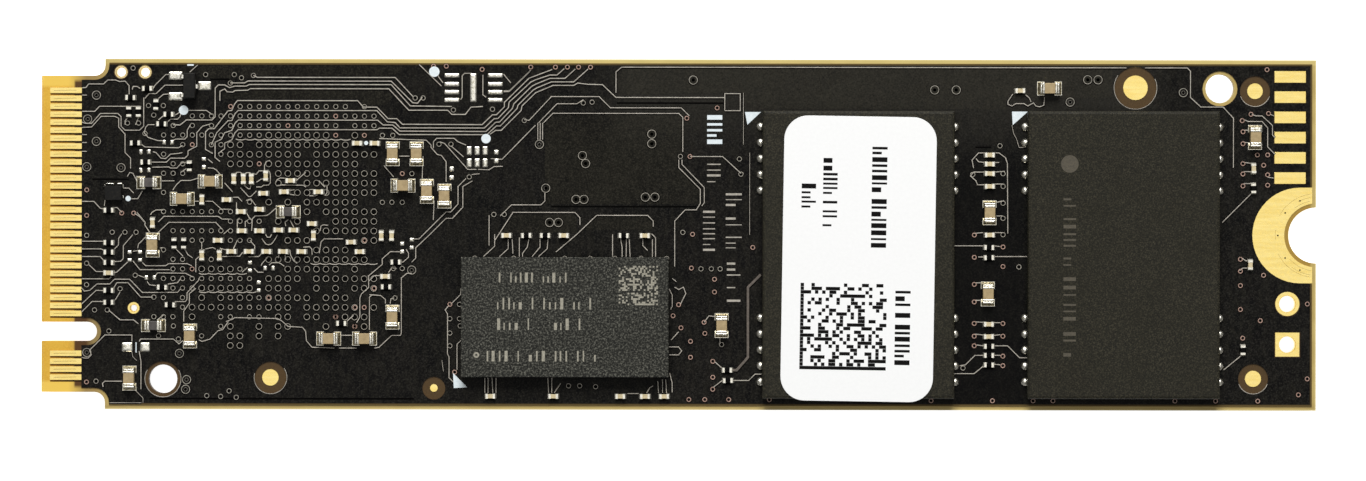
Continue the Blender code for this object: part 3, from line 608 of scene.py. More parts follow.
BUS_TRACES = (
    (13.3, 9.95, 13.55, 9.83, 22.2, 9.83, 23.35, 8.6),
    (11.85, 9.48, 12.75, 9.48, 12.95, 9.6, 21.95, 9.6, 23.3, 8.25, 23.6, 8.22, 23.9, 8.6),
    (8.25, 6.85, 8.7, 6.83, 9.1, 7.15, 10.7, 7.15, 10.9, 7.35, 10.9, 9.15, 11.1, 9.35, 11.5, 9.35, 11.8, 9.18,
     12.15, 9.28, 12.85, 9.28, 13.05, 9.38, 21.95, 9.38, 23.15, 8.05, 25.75, 8.02),
    (11.2, 8.35, 11.2, 8.95, 11.5, 9.1, 11.65, 8.92, 12.0, 8.9, 12.15, 9.0, 12.95, 9.02, 13.1, 9.12, 21.8, 9.12,
     23.05, 7.78, 25.5, 7.78, 25.75, 7.52, 26.6, 7.52, 26.95, 7.98, 27.7, 8.02),
    (10.75, 5.05, 10.3, 5.3, 10.3, 6.4, 10.5, 6.6, 10.85, 6.6, 11.7, 7.72, 11.95, 7.75, 12.12, 8.15, 12.3, 8.37,
     19.85, 8.37, 20.2, 7.97, 21.05, 7.97, 21.75, 7.25, 22.3, 7.25, 22.65, 6.9, 27.65, 6.88, 28.3, 7.5, 28.55, 7.5,
     29.05, 8.0, 29.05, 8.28, 30.6, 9.8, 32.05, 10.35),
    (10.67, 5.6, 11.0, 6.35, 11.7, 7.1, 11.95, 7.12, 12.15, 7.55, 12.35, 7.75, 21.05, 7.75, 21.7, 7.05, 22.2, 7.0,
     22.5, 6.67, 27.8, 6.67, 28.4, 7.25, 28.65, 7.27, 29.3, 7.95, 29.35, 8.3, 30.7, 9.55, 31.0, 9.7, 31.9, 10.0,
     32.35, 10.0, 32.8, 10.4),
    (11.2, 4.55, 10.9, 4.8, 10.9, 5.75, 11.3, 5.95, 11.5, 6.35, 11.95, 6.5, 12.15, 6.95, 12.35, 7.15, 21.1, 7.15,
     21.45, 6.85, 22.05, 6.85, 22.5, 6.47, 27.9, 6.45, 28.5, 7.03, 28.75, 7.05, 29.55, 7.9, 29.65, 8.2, 30.75, 9.28,
     31.0, 9.42, 31.9, 9.79, 32.85, 9.79, 33.5, 10.38),
    (11.1, 5.05, 11.5, 5.35, 11.5, 5.7, 11.95, 5.9, 12.15, 6.35, 12.35, 6.55, 21.05, 6.55, 21.2, 6.65, 22.0, 6.65,
     22.45, 6.25, 27.95, 6.25, 28.55, 6.8, 28.8, 6.8, 29.85, 7.9, 29.9, 8.1, 30.85, 9.05, 31.1, 9.2, 32.0, 9.57,
     33.4, 9.57, 34.3, 10.38),
    (28.15, 6.28, 28.5, 6.52, 28.85, 6.52, 30.1, 7.77, 30.15, 8.05, 31.0, 8.88, 32.1, 9.35, 33.4, 9.35, 33.65, 9.5,
     34.3, 9.42, 35.2, 9.4, 36.05, 8.6, 42.85, 8.6), (29.0, 8.95, 29.35, 8.96, 30.62, 10.2, 30.68, 10.32),
)
MIDDLE_TRACES = (
    (30.3, 7.2, 30.6, 7.15, 32.0, 8.65, 35.0, 8.65, 35.7, 7.95, 40.15, 7.95, 40.65, 7.45),
    (31.2, 7.0, 32.35, 8.2, 33.6, 8.2, 34, 8.45), (31.5, 7.0, 32.1, 7.6, 40.0, 7.6, 40.25, 7.35, 40.25, 5.2),
    (31.15, 7.0, 31.15, 5.95), (31.3, 7.0, 31.3, 5.95), (31.45, 7.0, 31.45, 5.95),
    (21.2, 6.0, 24.15, 5.9, 24.45, 5.6, 24.45, 5.45, 24.85, 5.0, 25.1, 4.95, 25.4, 4.55, 25.4, 3.3),
    (24.6, 5.4, 24.6, 5.8, 24.8, 6.02, 25.9, 6.02, 26.15, 5.8, 26.65, 5.6),
    (25.0, 5.8, 25.3, 5.7, 26.6, 4.25, 26.75, 4.07, 27.3, 4.07), (25.7, 5.55, 26.5, 4.85),
    (28.2, 4.75, 28.9, 4.7, 31.0, 6.85), (27.4, 4.07, 28.1, 4.05, 28.4, 4.25, 28.95, 4.27),
    (24.0, 0, 25.4, 1.4, 25.7, 1.4, 26.15, 1.9, 26.15, 3.0, 26.65, 3.5),
    (23.25, -1.75, 23.5, -1.5, 23.5, -0.85, 24.4, 0, 25.4, 1.0, 25.8, 1.0, 26.45, 1.7, 26.45, 3.0, 27.05, 3.35),
    (27.0, 3.75, 27.5, 3.8), (23.7, 10.65, 25.1, 9.3), (24.9, 10.1, 24.9, 9.9, 25.2, 9.5),
    (26.3, 8.45, 26.4, 8.6, 26.4, 9.95, 26.55, 10.1, 27.0, 10.1), (27.7, 10.0, 27.7, 8.75, 27.9, 8.6),
    (29.0, 10.05, 29.45, 9.5), (29.0, 9.0, 29.35, 9.0, 30.7, 10.3), (28.1, -0.7, 28.1, 1.2),
    (28.45, -0.4, 29.6, 1.38, 33.5, 1.38, 33.8, 1.05, 33.8, 0.6),
    (28.8, 1.15, 29.5, 1.85, 31.35, 1.85, 31.6, 2.1, 31.6, 2.6), (23.95, 4.9, 23.9, 3.5), (21.5, 4.3, 22.1, 3.6),
    (24.65, 2.1, 24.6, 0.9), (22.45, 4.9, 23.1, 4.9),
    (42.88, 7.78, 43.85, 7.78, 43.85, 8.85, 42.88, 8.85, 42.88, 7.8), (40.7, 4.9, 42.75, 4.9, 43.9, 3.85),
    (40.0, 4.7, 40.0, 4.2, 41.35, 2.85, 41.35, 1.95, 41.1, 1.55, 40.4, 1.55, 39.75, 0.85, 39.75, -2),
    (40.2, 4.7, 40.2, 4.4, 41.6, 2.95, 41.6, 2.0, 41.45, 1.8),
    (32.3, -1.1, 33.6, 0, 34.85, 1.2, 38.05, 1.2, 38.4, 0.85, 38.4, 0.5),
    (17.45, -1.2, 17.55, -0.5, 17.75, -0.3, 18.95, -0.3),
    (20.5, -2.65, 21.4, -1.9, 21.4, -1.55, 21.9, -1.1, 22.55, -1.1), (20.55, -2.95, 20.9, -2.6, 21.3, -2.6),
    (22.3, -2.15, 22.0, -2.1, 21.8, -2.4),
    (23.25, -2.45, 22.95, -2.45, 22.6, -2.75, 22.6, -6.2, 22.55, -6.35, 22.0, -6.35, 21.2, -7.1, 20.9, -7.15),
    (22.9, -0.95, 23.05, -1.2, 23.05, -1.45, 22.7, -1.75, 22.5, -1.75), (24.0, 0, 23.7, -0.3, 23.4, -0.3),
    (18.7, -7.15, 19.8, -7.15), (18.8, -6.35, 19.5, -6.35), (20.6, -3.8, 21.3, -3.85, 21.6, -4.1, 21.6, -4.35),
    (21.9, -4.35, 21.95, -4.05, 22.15, -4.0), (19.2, -5.45, 19.6, -5.1),
    (20.55, -2.65, 20.55, -3.35, 20.1, -3.75, 20.0, -4.0, 20.0, -5.2, 19.8, -5.55),
    (20.6, -6.0, 20.6, -3.95, 20.75, -3.82), (25.7, -4.4, 26.3, -3.8, 26.35, -3.4),
    (25.6, -4.45, 25.35, -4.75, 25.5, -5.0, 25.5, -7.5, 25.6, -7.7, 25.6, -9.0, 25.95, -9.35),
    (26.35, -6.65, 26.1, -6.9, 26.1, -8.5), (28.45, 0, 28.45, -0.75, 27.75, -1.4),
    (29.3, -0.3, 29.3, -0.9, 28.75, -1.4), (29.55, -0.3, 29.6, -1.2), (30.0, -0.2, 30.0, -1.4),
    (30.6, -0.3, 30.5, -0.8, 30.2, -1.2, 30.2, -1.4), (31.3, -0.3, 31.3, -0.8, 30.8, -1.4),
    (31.8, -0.3, 31.75, -0.9, 31.2, -1.4), (35.85, 0, 35.85, -1.4), (36.35, -0.25, 36.45, -0.8, 36.45, -1.4),
    (36.72, -0.3, 36.7, -1.4), (36.9, -0.3, 36.95, -1.4), (37.75, -0.3, 37.75, -0.7, 38.05, -1.0),
    (38.35, -0.3, 38.35, -1.4), (38.3, 0.05, 38.55, -0.2, 38.55, -1.4), (27.85, -9.0, 27.85, -9.95),
    (28.05, -9.0, 28.05, -9.95), (28.3, -9.0, 28.35, -9.95), (28.55, -9.0, 28.55, -9.95), (31.8, -9.0, 31.85, -9.95),
    (32.05, -9.0, 32.05, -9.95), (32.2, -9.95, 32.6, -9.35), (39.6, -2.75, 39.85, -2.95),
    (39.75, -3.3, 40.0, -3.45, 40.3, -3.3, 40.45, -3.7, 40.1, -4.4), (39.4, -3.4, 39.6, -3.8, 39.6, -4.5, 39.5, -4.7),
    (40.0, -6.1, 39.55, -6.6), (39.4, -7.05, 40.0, -7.05, 40.2, -7.3, 40.0, -7.55, 39.4, -7.55),
    (39.45, -8.7, 39.6, -9.3, 39.6, -9.9), (38.7, -9.2, 38.75, -9.95), (39.0, -9.1, 39.0, -9.95),
    (39.2, -9.1, 39.25, -9.95), (36.8, -9.98, 37.5, -9.98), (38.0, -9.95, 38.2, -9.6, 38.4, -9.5),
    (42.4, -5.15, 41.9, -5.1, 41.6, -5.5), (42.6, -6.4, 42.6, -6.85), (42.25, -7.95, 42.75, -8.4),
    (42.15, -9.6, 42.75, -9.15), (43.4, -9.15, 44.4, -9.15, 44.8, -8.75, 45.2, -8.75),
)
FAR_TRACES = (
    (36.05, 8.9, 36.05, 10.2, 36.4, 10.5, 68.08, 10.5),
    (69.25, 10.5, 71.9, 10.5, 72.1, 10.3, 72.1, 8.65, 72.75, 8.05, 74.15, 8.05, 74.8, 7.35, 74.8, 4.25),
    (57.3, -0.68, 59.1, -0.68), (59.85, -1.35, 61.9, -1.35), (59.85, -6.95, 60.65, -6.95, 61.4, -7.7, 61.9, -7.7),
    (59.1, -7.55, 58.6, -7.55, 58.0, -8.15, 57.65, -8.2), (59.1, -8.25, 58.55, -8.7, 57.3, -8.7),
    (60.95, 8.85, 60.65, 8.4, 60.65, 8.2, 60.9, 8.1, 61.15, 8.25, 61.65, 8.25, 61.9, 8.1, 62.25, 8.3, 62.4, 8.1,
     62.65, 8.05, 62.9, 8.15, 62.95, 8.65), (61.75, 8.8, 62.0, 8.6, 62.1, 8.35),
    (59.2, 5.15, 58.8, 5.15, 58.4, 4.7, 58.5, 4.2), (59.2, 4.55, 58.8, 4.6, 58.65, 4.8),
    (59.2, 3.95, 58.5, 3.95, 58.3, 3.7, 58.65, 3.4, 58.75, 3.15, 59.2, 3.15),
    (59.8, 5.15, 60.1, 5.15, 60.5, 4.85, 60.62, 4.5, 60.65, 0.1), (59.8, 4.55, 60.1, 4.55), (59.8, 3.95, 60.45, 4.0),
    (59.8, 3.2, 60.4, 3.2), (59.95, 2.05, 60.4, 2.15), (59.9, 1.2, 60.35, 1.2), (59.1, 0.15, 58.5, 0.1),
    (59.8, 0.15, 60.4, 0.15), (59.8, -0.68, 60.15, -0.72), (58.8, -1.38, 59.15, -1.38), (59.0, -3.0, 58.6, -3.0),
    (59.0, -4.1, 58.6, -4.1), (59.1, -5.48, 58.6, -5.45), (59.8, -5.5, 60.2, -5.5), (59.1, -6.27, 58.6, -6.22),
    (59.8, -6.3, 60.2, -6.25), (59.1, -6.95, 58.7, -6.9), (59.8, -7.55, 60.2, -7.55), (59.8, -8.1, 60.2, -8.15),
    (75.95, 7.6, 76.2, 7.5, 76.6, 7.5, 77.25, 6.9, 77.25, 6.3, 77.4, 6.15),
    (75.5, 7.25, 75.7, 7.15, 76.6, 7.15, 76.95, 6.75, 76.95, 5.55, 77.4, 5.1), (75.5, 6.6, 75.8, 6.6),
    (75.45, 5.85, 75.8, 5.8), (75.4, 4.6, 76.0, 4.5), (75.45, 4.0, 75.9, 4.0), (75.45, 3.25, 75.95, 3.25),
    (75.9, 2.6, 74.1, 0.8), (76.95, 3.65, 77.35, 3.6), (77.1, 7.6, 77.35, 7.5), (75.3, -1.4, 75.6, -1.6, 75.75, -1.6),
    (75.2, -2.2, 75.4, -2.05, 75.8, -2.05), (75.3, -7.55, 74.2, -8.45),
)
CHIP_TRACES = (
    (2.55, 7.68, 3.35, 7.68, 3.65, 8.0, 6.2, 8.0), (12.15, 3.75, 12.25, 3.87, 12.5, 3.87, 12.6, 3.75),
    (12.78, 3.75, 12.9, 3.85, 13.08, 3.85, 13.18, 3.75), (13.3, 3.75, 13.5, 3.75, 13.65, 3.96, 13.95, 3.96),
    (13.5, 3.25, 13.8, 3.45, 14.0, 3.45),
    (13.5, 2.95, 13.8, 2.95, 13.95, 3.06, 14.25, 3.07, 14.37, 3.2, 14.37, 3.75, 14.3, 3.95),
    (14.0, 4.0, 14.0, 4.3, 14.12, 4.55, 14.35, 4.62), (12.72, 3.05, 12.98, 2.84, 13.1, 2.84, 13.15, 3.05),
    (12.25, 1.98, 12.25, 1.6, 12.4, 1.5), (12.9, 1.3, 13.05, 1.02, 13.22, 0.88),
    (14.72, 3.25, 14.8, 3.42, 15.0, 3.52, 15.3, 3.5), (14.75, 3.02, 15.1, 3.08, 16.45, 3.06, 16.6, 2.95),
    (16.0, 3.35, 16.15, 3.5, 16.3, 3.62, 16.6, 3.88), (15.58, 2.74, 15.9, 2.78), (15.58, 2.5, 15.9, 2.44),
    (16.82, 2.79, 17.1, 2.8), (16.82, 2.4, 17.2, 2.4, 17.35, 2.48), (17.42, 3.35, 17.78, 2.95),
    (17.93, 3.0, 17.93, 2.6, 17.83, 2.45), (15.35, 0.5, 15.3, 0.75, 15.5, 0.9), (15.62, 0.85, 15.85, 0.42),
    (12.8, 0.45, 12.8, 0.78, 12.95, 0.85), (10.07, -0.5, 10.07, -0.95),
    (13.85, -0.3, 14.08, -0.62, 14.27, -0.68, 14.46, -0.62, 14.66, -0.35, 14.82, -0.05),
    (14.08, -0.02, 14.18, -0.2, 14.36, -0.2, 14.46, -0.02), (16.45, -0.82, 16.85, -0.8, 16.98, -0.95, 17.0, -1.3),
    (14.25, -1.4, 13.86, -1.85, 13.8, -1.98), (14.3, -1.95, 14.47, -1.8, 14.9, -1.8, 15.05, -1.87, 15.25, -2.02),
    (15.6, -1.0, 15.66, -1.35, 15.85, -1.68, 16.05, -1.84), (15.3, -1.3, 15.34, -1.6), (14.92, -1.3, 14.87, -1.5),
    (17.5, 0.2, 17.55, 0.5, 17.7, 0.58, 18.0, 0.55),
)
WIDE_TRACES = (
    (43.4, -8.5, 43.65, -8.5, 44.35, -7.7, 44.35, -3.3, 45.15, -2.5),
)
FINE_TRACES = (
    (44.45, 5.15, 44.45, 0), (44.05, 8.9, 44.05, 5.65), (60.9, 6.9, 61.0, 6.4, 61.2, 6.0, 61.35, 5.5, 61.8, 5.5),
    (5.7, -7.4, 5.75, -7.7, 6.0, -7.95), (5.9, -9.8, 6.4, -10.3, 6.4, -10.6), (4.3, -10.6, 6.3, -10.6),
    (25.15, -7.9, 25.25, -8.6),
)
GAPS = (
    (3.2, 3.42, 5.5, 3.42), (10.6, 9.7, 11.8, 9.7), (6.8, -10.33, 23.4, -10.33), (36.1, 8.25, 42.8, 8.25),
    (32.0, 1.75, 41.1, 1.75), (58.6, 5.5, 59.6, 5.5),
)
# Rims of openings in the mask that catch the light: x, y, radius, from and to in degrees.
LIT_RIMS = ((68.65, 9.25, 1.345, 145, 385), (14.40, -9.0, 1.03, 165, 395), (7.65, -9.1, 1.135, 150, 390),
            (76.15, 9.05, 0.965, 200, 340), (76.05, -9.0, 0.955, 200, 340))
# Lines that weave past rows of vias: x from, x to, y.
SCALLOPS = ((12.2, 19.1, 5.93), (9.9, 13.3, -3.65), (16.9, 20.6, -1.87), (9.9, 12.6, -2.5))

# The field of vias under the controller: from x = 7.67, 0.6 mm apart. o small, O large, p bare copper showing pink.
GRID_X, GRID_STEP, GRID_TOP = 7.67, 0.6, 8.0
GRID = (
    ".......poooooooooooo.o.", "...ooooooooooooooopoooo", ".o.o.o.oooooopooooo.ooo", "oooooooooooooooooop.op.",
    "..op.ooOO.OOOOOOOOOO...", "o.....oOOOOOOOO.OOOOOOO", ".oo....OOOpOOOOOO.OOO..", "ooo.........ooooooooooo",
    "............o..oooooooo", "o.............oo.oooooo", ".........o.o.o.oooooo..", "oooooooo.......o.oooooo",
    ".......oooo.o.o...ooooo", ".ooooooo........ooooooo", "...oo..ooo...ooo.....oo", "................oooo...",
    ".oo..o.....ooooooooooo.", ".oopOOOOo....oooooo.O..", "oooooooooo.oooo.ooooooo", ".oooOOOOOO.ooo..o.O.Ooo",
    "o.o.O.OoOOoooooo.ooo...", "..oOOOOooooooo.oooooopo", "oo.O..oo.oo.oo.oo.pooo.", "......oO..O.Oo...o..po.",
    "....o..OO.O.O..........", ".......OO..............",
)
LARGE_VIAS = (
    3.45, 8.7, 3.45, 5.8, 5.0, 4.15, 2.85, 4.2, 2.9, 7.2, 2.87, -7.45, 8.68, -7.5, 9.13, -9.15, 9.07, -9.75,
    40.9, 9.7, 38.3, 6.3, 38.3, 5.7, 33.95, 4.95, 34.15, 4.45, 33.55, 2.2, 34.05, 2.2, 37.9, 2.35, 38.5, 2.35,
    31.9, 0.75, 32.45, 0.75, 31.25, 5.65, 31.65, 2.9, 56.05, 9.1, 57.4, 9.1, 65.65, 9.75, 66.3, 9.75, 64.55, 8.35,
    71.65, 8.95, 23.25, -2.25,
)
SMALL_VIAS = (
    40.26, 0.14, 10.3, 10.0, 12.1, 10.0, 12.55, 9.8, 13.3, 9.95, 11.85, 9.47, 6.72, 8.05, 7.65, 8.05, 7.05, 7.45,
    5.4, 6.95, 6.1, 6.95, 6.5, 6.3, 5.75, 10.4, 4.45, 0.1, 5.25, 0.1, 5.95, 0.1, 2.85, -0.1, 2.85, -1.85, 2.85, -3.2,
    4.95, -3.45, 5.9, -2.6, 7.67, -1.0, 7.07, -3.97, 7.07, -5.2, 4.25, -6.1, 3.35, -4.78, 4.15, -4.78, 3.45, -9.25,
    7.37, -6.4, 8.62, -6.6, 8.3, -5.78, 10.4, -10.15, 11.27, -10.2, 11.8, -9.85, 12.25, -10.25, 21.4, 6.2, 22.05, 6.2,
    21.4, 2.0, 22.0, 2.0, 22.65, 2.0, 23.25, 3.8, 24.95, 5.65, 25.7, 5.65, 26.85, 3.6, 28.4, 1.25, 29.05, 1.25,
    30.3, 7.15, 28.3, 7.85, 25.85, 7.8, 23.45, 8.55, 23.95, 8.55, 34.0, 8.25, 34.55, 8.3, 40.1, 4.9, 43.8, 4.75,
    43.9, 3.8, 41.4, -2.15, 42.05, -2.15, 42.6, -2.15, 60.15, 5.6, 61.35, -2.0, 33.1, -9.5, 33.8, -9.5, 34.8, -9.55,
    26.25, -4.4, 26.25, -5.3, 26.3, -5.75, 25.65, -5.3, 25.65, -6.2, 25.65, -7.0, 22.1, -2.15, 22.65, -2.15,
    22.2, -4.0, 27.2, -1.5, 29.65, -1.5, 32.85, -1.5, 34.45, -1.5, 36.0, -1.5, 37.65, -1.5, 39.25, -1.5, 42.7, -6.9,
    58.45, 3.8, 60.35, 3.85, 60.35, 3.05, 60.35, 2.0, 60.35, 1.05, 60.35, 0.02, 57.85, -8.35,
)
PINK_VIAS = (
    40.87, 0.02, 20.29, -0.4, 20.89, -3.4, 14.28, -4.0, 19.69, -4.6, 18.49, -5.2, 19.69, -5.8, 2.85, 2.75, 2.85, 1.15,
    5.05, 1.3, 5.8, 1.3, 2.85, -9.3, 24.6, 10.55, 25.4, 10.55, 27.65, 10.35, 30.7, 10.5, 32.25, 10.5, 33.0, 10.5,
    33.7, 10.5, 34.45, 10.5, 22.65, 3.8, 25.65, -4.4, 25.95, -8.65, 40.5, 7.3, 40.7, 4.9, 42.4, 7.95, 40.8, -2.1,
    42.25, -2.8, 42.25, -3.6, 40.0, -4.4, 39.65, -5.1, 40.15, -5.85, 40.75, -6.7, 40.75, -7.7, 41.65, -6.2,
    41.6, -5.5, 42.15, -7.95, 42.15, -8.95, 42.15, -9.7, 40.65, -10.35, 41.65, -10.35, 43.15, -10.35, 44.65, -0.8,
    45.7, -10.35, 55.85, -10.4, 59.7, -10.4, 62.25, -10.4, 63.5, -10.4, 71.15, -10.4, 73.7, -10.4, 60.35, -0.75,
    58.55, -1.4, 60.35, -1.98, 58.55, 0.0, 58.55, -3.1, 58.55, -4.2, 58.55, -5.55, 60.35, -5.55, 58.55, -6.35,
    60.35, -6.35, 58.55, -6.95, 60.35, -7.6, 60.35, -8.2, 76.9, 10.4, 77.0, 7.65, 76.3, 5.05, 76.95, 5.05, 76.7, 4.4,
    76.95, 3.8, 76.95, 3.15, 75.35, 7.2, 75.9, 7.6, 75.4, 6.5, 75.4, 5.75, 75.4, 4.5, 75.4, 3.85, 75.4, 3.1,
    75.25, -1.5, 75.25, -2.25, 76.7, -2.5, 75.25, -3.15, 75.25, -4.65, 76.5, -5.35, 75.4, -6.45, 79.45, -4.3,
    79.45, -9.0, 78.9, -10.0, 76.35, -10.4,
)
# Parts of the front where a copper plane lies under the mask.
PLANES = (
    (36.15, 8.75, 43.9, 8.95, 43.9, 7.0, 44.9, 7.0, 44.9, 7.9, 60.5, 7.9, 60.5, 8.6, 67.2, 8.6, 67.2, 10.45,
     36.5, 10.45, 36.15, 10.15),
    (31.6, 1.9, 41.3, 1.9, 41.3, 2.8, 39.95, 4.15, 39.95, 4.75, 40.2, 5.2, 40.2, 7.25, 39.95, 7.52, 32.1, 7.52,
     31.6, 7.0), (14.0, 9.95, 22.1, 9.95, 22.9, 10.55, 9.95, 10.58, 9.95, 9.8, 10.8, 9.78, 13.2, 9.75, 13.5, 9.95),
    (12.5, 8.5, 19.9, 8.5, 20.3, 8.1, 21.6, 8.1, 22.1, 8.6, 21.6, 9.02, 13.2, 9.02, 13.0, 8.9, 11.7, 8.8, 11.35, 8.9,
     11.35, 8.45), (28.9, 0.1, 33.6, 0.1, 33.6, 1.0, 33.4, 1.25, 29.7, 1.25),
    (34.0, 0.3, 34.9, 1.1, 38.0, 1.1, 38.3, 0.8, 38.3, 0.3),
)
# What packages cover on the card's back: x from, x to, y from, y to.
BACK_HIDDEN = ((6.5, 22.7, -7.7, 8.5), (26.2, 39.5, -9.0, -1.3), (45.1, 57.4, -10.4, 7.9), (61.7, 74.0, -10.4, 7.9))


def grid_vias():
    for row, line in enumerate(GRID):
        for column, kind in enumerate(line):
            x, y = GRID_X + GRID_STEP * column, GRID_TOP - GRID_STEP * row
            if kind == "o" and x > 13.9 and y < 6.5:
                kind = "O"
            if kind != ".":
                yield x, y, kind


def all_vias():
    yield from grid_vias()
    for numbers, kind in ((LARGE_VIAS, "L"), (SMALL_VIAS, "o"), (PINK_VIAS, "p")):
        for x, y in pairs(numbers):
            yield x, y, kind


def add_via(rings, painted_shadows, copper_rings, x, y, kind):
    """A tented via: a raised ring over its land with a painted sheen, on a dark patch of painted shadow set a little
    towards -Y, which also shows in the middle where the mask dips.
    """
    if kind == "L":
        rings.ring(x, y, 0.235, 0.290, LINE_LOW, LINE_TOP + 0.002, 20, 0.012)
        rings.ring(x, y, 0.100, 0.124, LINE_LOW, LINE_TOP - 0.006, 12, 0.008)
        painted_shadows.ring(x, y - 0.015, 0.262, 0.345, LINE_LOW, SHADOW_PAINT_TOP, 20, 0.01)
        painted_shadows.disc(x, y, 0.100, LINE_LOW, SHADOW_PAINT_TOP, 12)
    elif kind == "O":
        rings.ring(x, y, 0.158, 0.212, LINE_LOW, LINE_TOP + 0.002, 16, 0.016)
        painted_shadows.disc(x, y - 0.012, 0.262, LINE_LOW, SHADOW_PAINT_TOP, 14)
    elif kind == "o":
        rings.ring(x, y, 0.108, 0.170, LINE_LOW, LINE_TOP + 0.001, 14, 0.018)
        painted_shadows.disc(x, y - 0.012, 0.205, LINE_LOW, SHADOW_PAINT_TOP, 12)
    else:
        copper_rings.ring(x, y, 0.085, 0.165, LINE_LOW, LINE_TOP + 0.001, 14, 0.020)
        painted_shadows.disc(x, y - 0.012, 0.200, LINE_LOW, SHADOW_PAINT_TOP, 12)


def scallop(start, stop, y):
    """A line that dips under each via of a row."""
    points, x, step = [], start, GRID_STEP
    while x < stop:
        points += [(x, y + 0.025), (x + step * 0.28, y - 0.03), (x + step * 0.72, y - 0.03)]
        x += step
    return points + [(x, y + 0.025)]


def add_line(lines, painted_shadows, path, width):
    """A trace under the mask, with a strip of painted shadow along its foot, set a little towards -Y."""
    lines.ribbon(path, width, LINE_LOW, LINE_TOP, 0.018)
    painted_shadows.ribbon([(x, y - 0.022) for x, y in path], width + 0.10, LINE_LOW, SHADOW_PAINT_TOP, 0.01)


def build_front_copper():
    planes = Shape()
    for numbers in PLANES:
        planes.slab(pairs(numbers), MASK_TOP - 0.004, MASK_TOP + 0.003)
    planes.make("mask_over_planes_front", PLANE, "solder_mask")
    lines, painted_shadows = Shape(), Shape()
    for rows, width in ((CONNECTOR_TRACES, LINE_WIDTH), (BUS_TRACES, BUS_WIDTH), (MIDDLE_TRACES, LINE_WIDTH),
                        (CHIP_TRACES, LINE_WIDTH), (FAR_TRACES, LINE_WIDTH), (FINE_TRACES, FINE_WIDTH)):
        for numbers in rows:
            add_line(lines, painted_shadows, pairs(numbers), width)
    for start, stop, y in SCALLOPS:
        add_line(lines, painted_shadows, scallop(start, stop, y), SCALLOP_WIDTH)
    for x, y, radius, start, stop in LIT_RIMS:
        lines.ribbon(arc(x, y, radius, start, stop, 24), 0.05, LINE_LOW, LINE_TOP + 0.001, 0.015)
    lines.make("traces_front", RAISED_SHEEN, "solder_mask")
    broad = Shape()
    for numbers in WIDE_TRACES:
        add_line(broad, painted_shadows, pairs(numbers), BROAD_WIDTH)
    broad.make("broad_traces_front", BROAD, "solder_mask")
    gaps = Shape()
    for numbers in GAPS:
        gaps.ribbon(pairs(numbers), GAP_WIDTH, LINE_LOW, MASK_TOP + 0.005, 0.01)
    gaps.make("plane_gaps_front", GROOVE, "solder_mask")
    rings, copper_rings = Shape(), Shape()
    for x, y, kind in all_vias():
        add_via(rings, painted_shadows, copper_rings, x, y, kind)
    rings.make("via_rings_front", RING_SHEEN, "solder_mask")
    painted_shadows.make("shadow_paint_front", SHADOW_PAINT, "solder_mask")
    copper_rings.make("via_lands_front", COPPER_VIA, "solder_mask")


build_front_copper()

# ---------------------------------------------------------------- bare metal of both sides

# Discs of the test points: x, y, radius.
TEST_DISCS = ((68.65, 9.25, 0.78), (76.15, 9.05, 0.50), (76.05, -9.0, 0.515), (14.39, -9.0, 0.525),
              (24.65, -9.65, 0.25))
# Plated holes: x, y, radius inside the barrel, radius of the hole in the board, radius of the land.
BARRELS = ((5.8, -4.65, 0.215, 0.227, 0.375), (78.2, -4.3, 0.515, 0.527, 0.770))
PALE_BARRELS = ((5.0, 10.15, 0.284, 0.297, 0.415), (6.5, 10.15, 0.284, 0.297, 0.415))
SQUARE_PAD = (78.2, -6.85, 0.515, 0.527, 0.765)
PROGRAM_PADS = [(78.36, 9.95 - 1.27 * row) for row in range(6)]
CONTACTS = {FRONT: [9.0 - 0.5 * k for k in range(29)] + [-7.5 - 0.5 * k for k in range(4)],
            BACK: [9.25 - 0.5 * k for k in range(29)] + [-7.25 - 0.5 * k for k in range(5)]}
CONTACT_HALF, CONTACT_TIP, CONTACT_END = 0.175, 0.55, 2.53
PAD_TOP = 0.390
# A wear mark on gold: its lowest and highest level and its flank.
WEAR = (FOIL_TOP - 0.002, FOIL_TOP + 0.0015, 0.008)


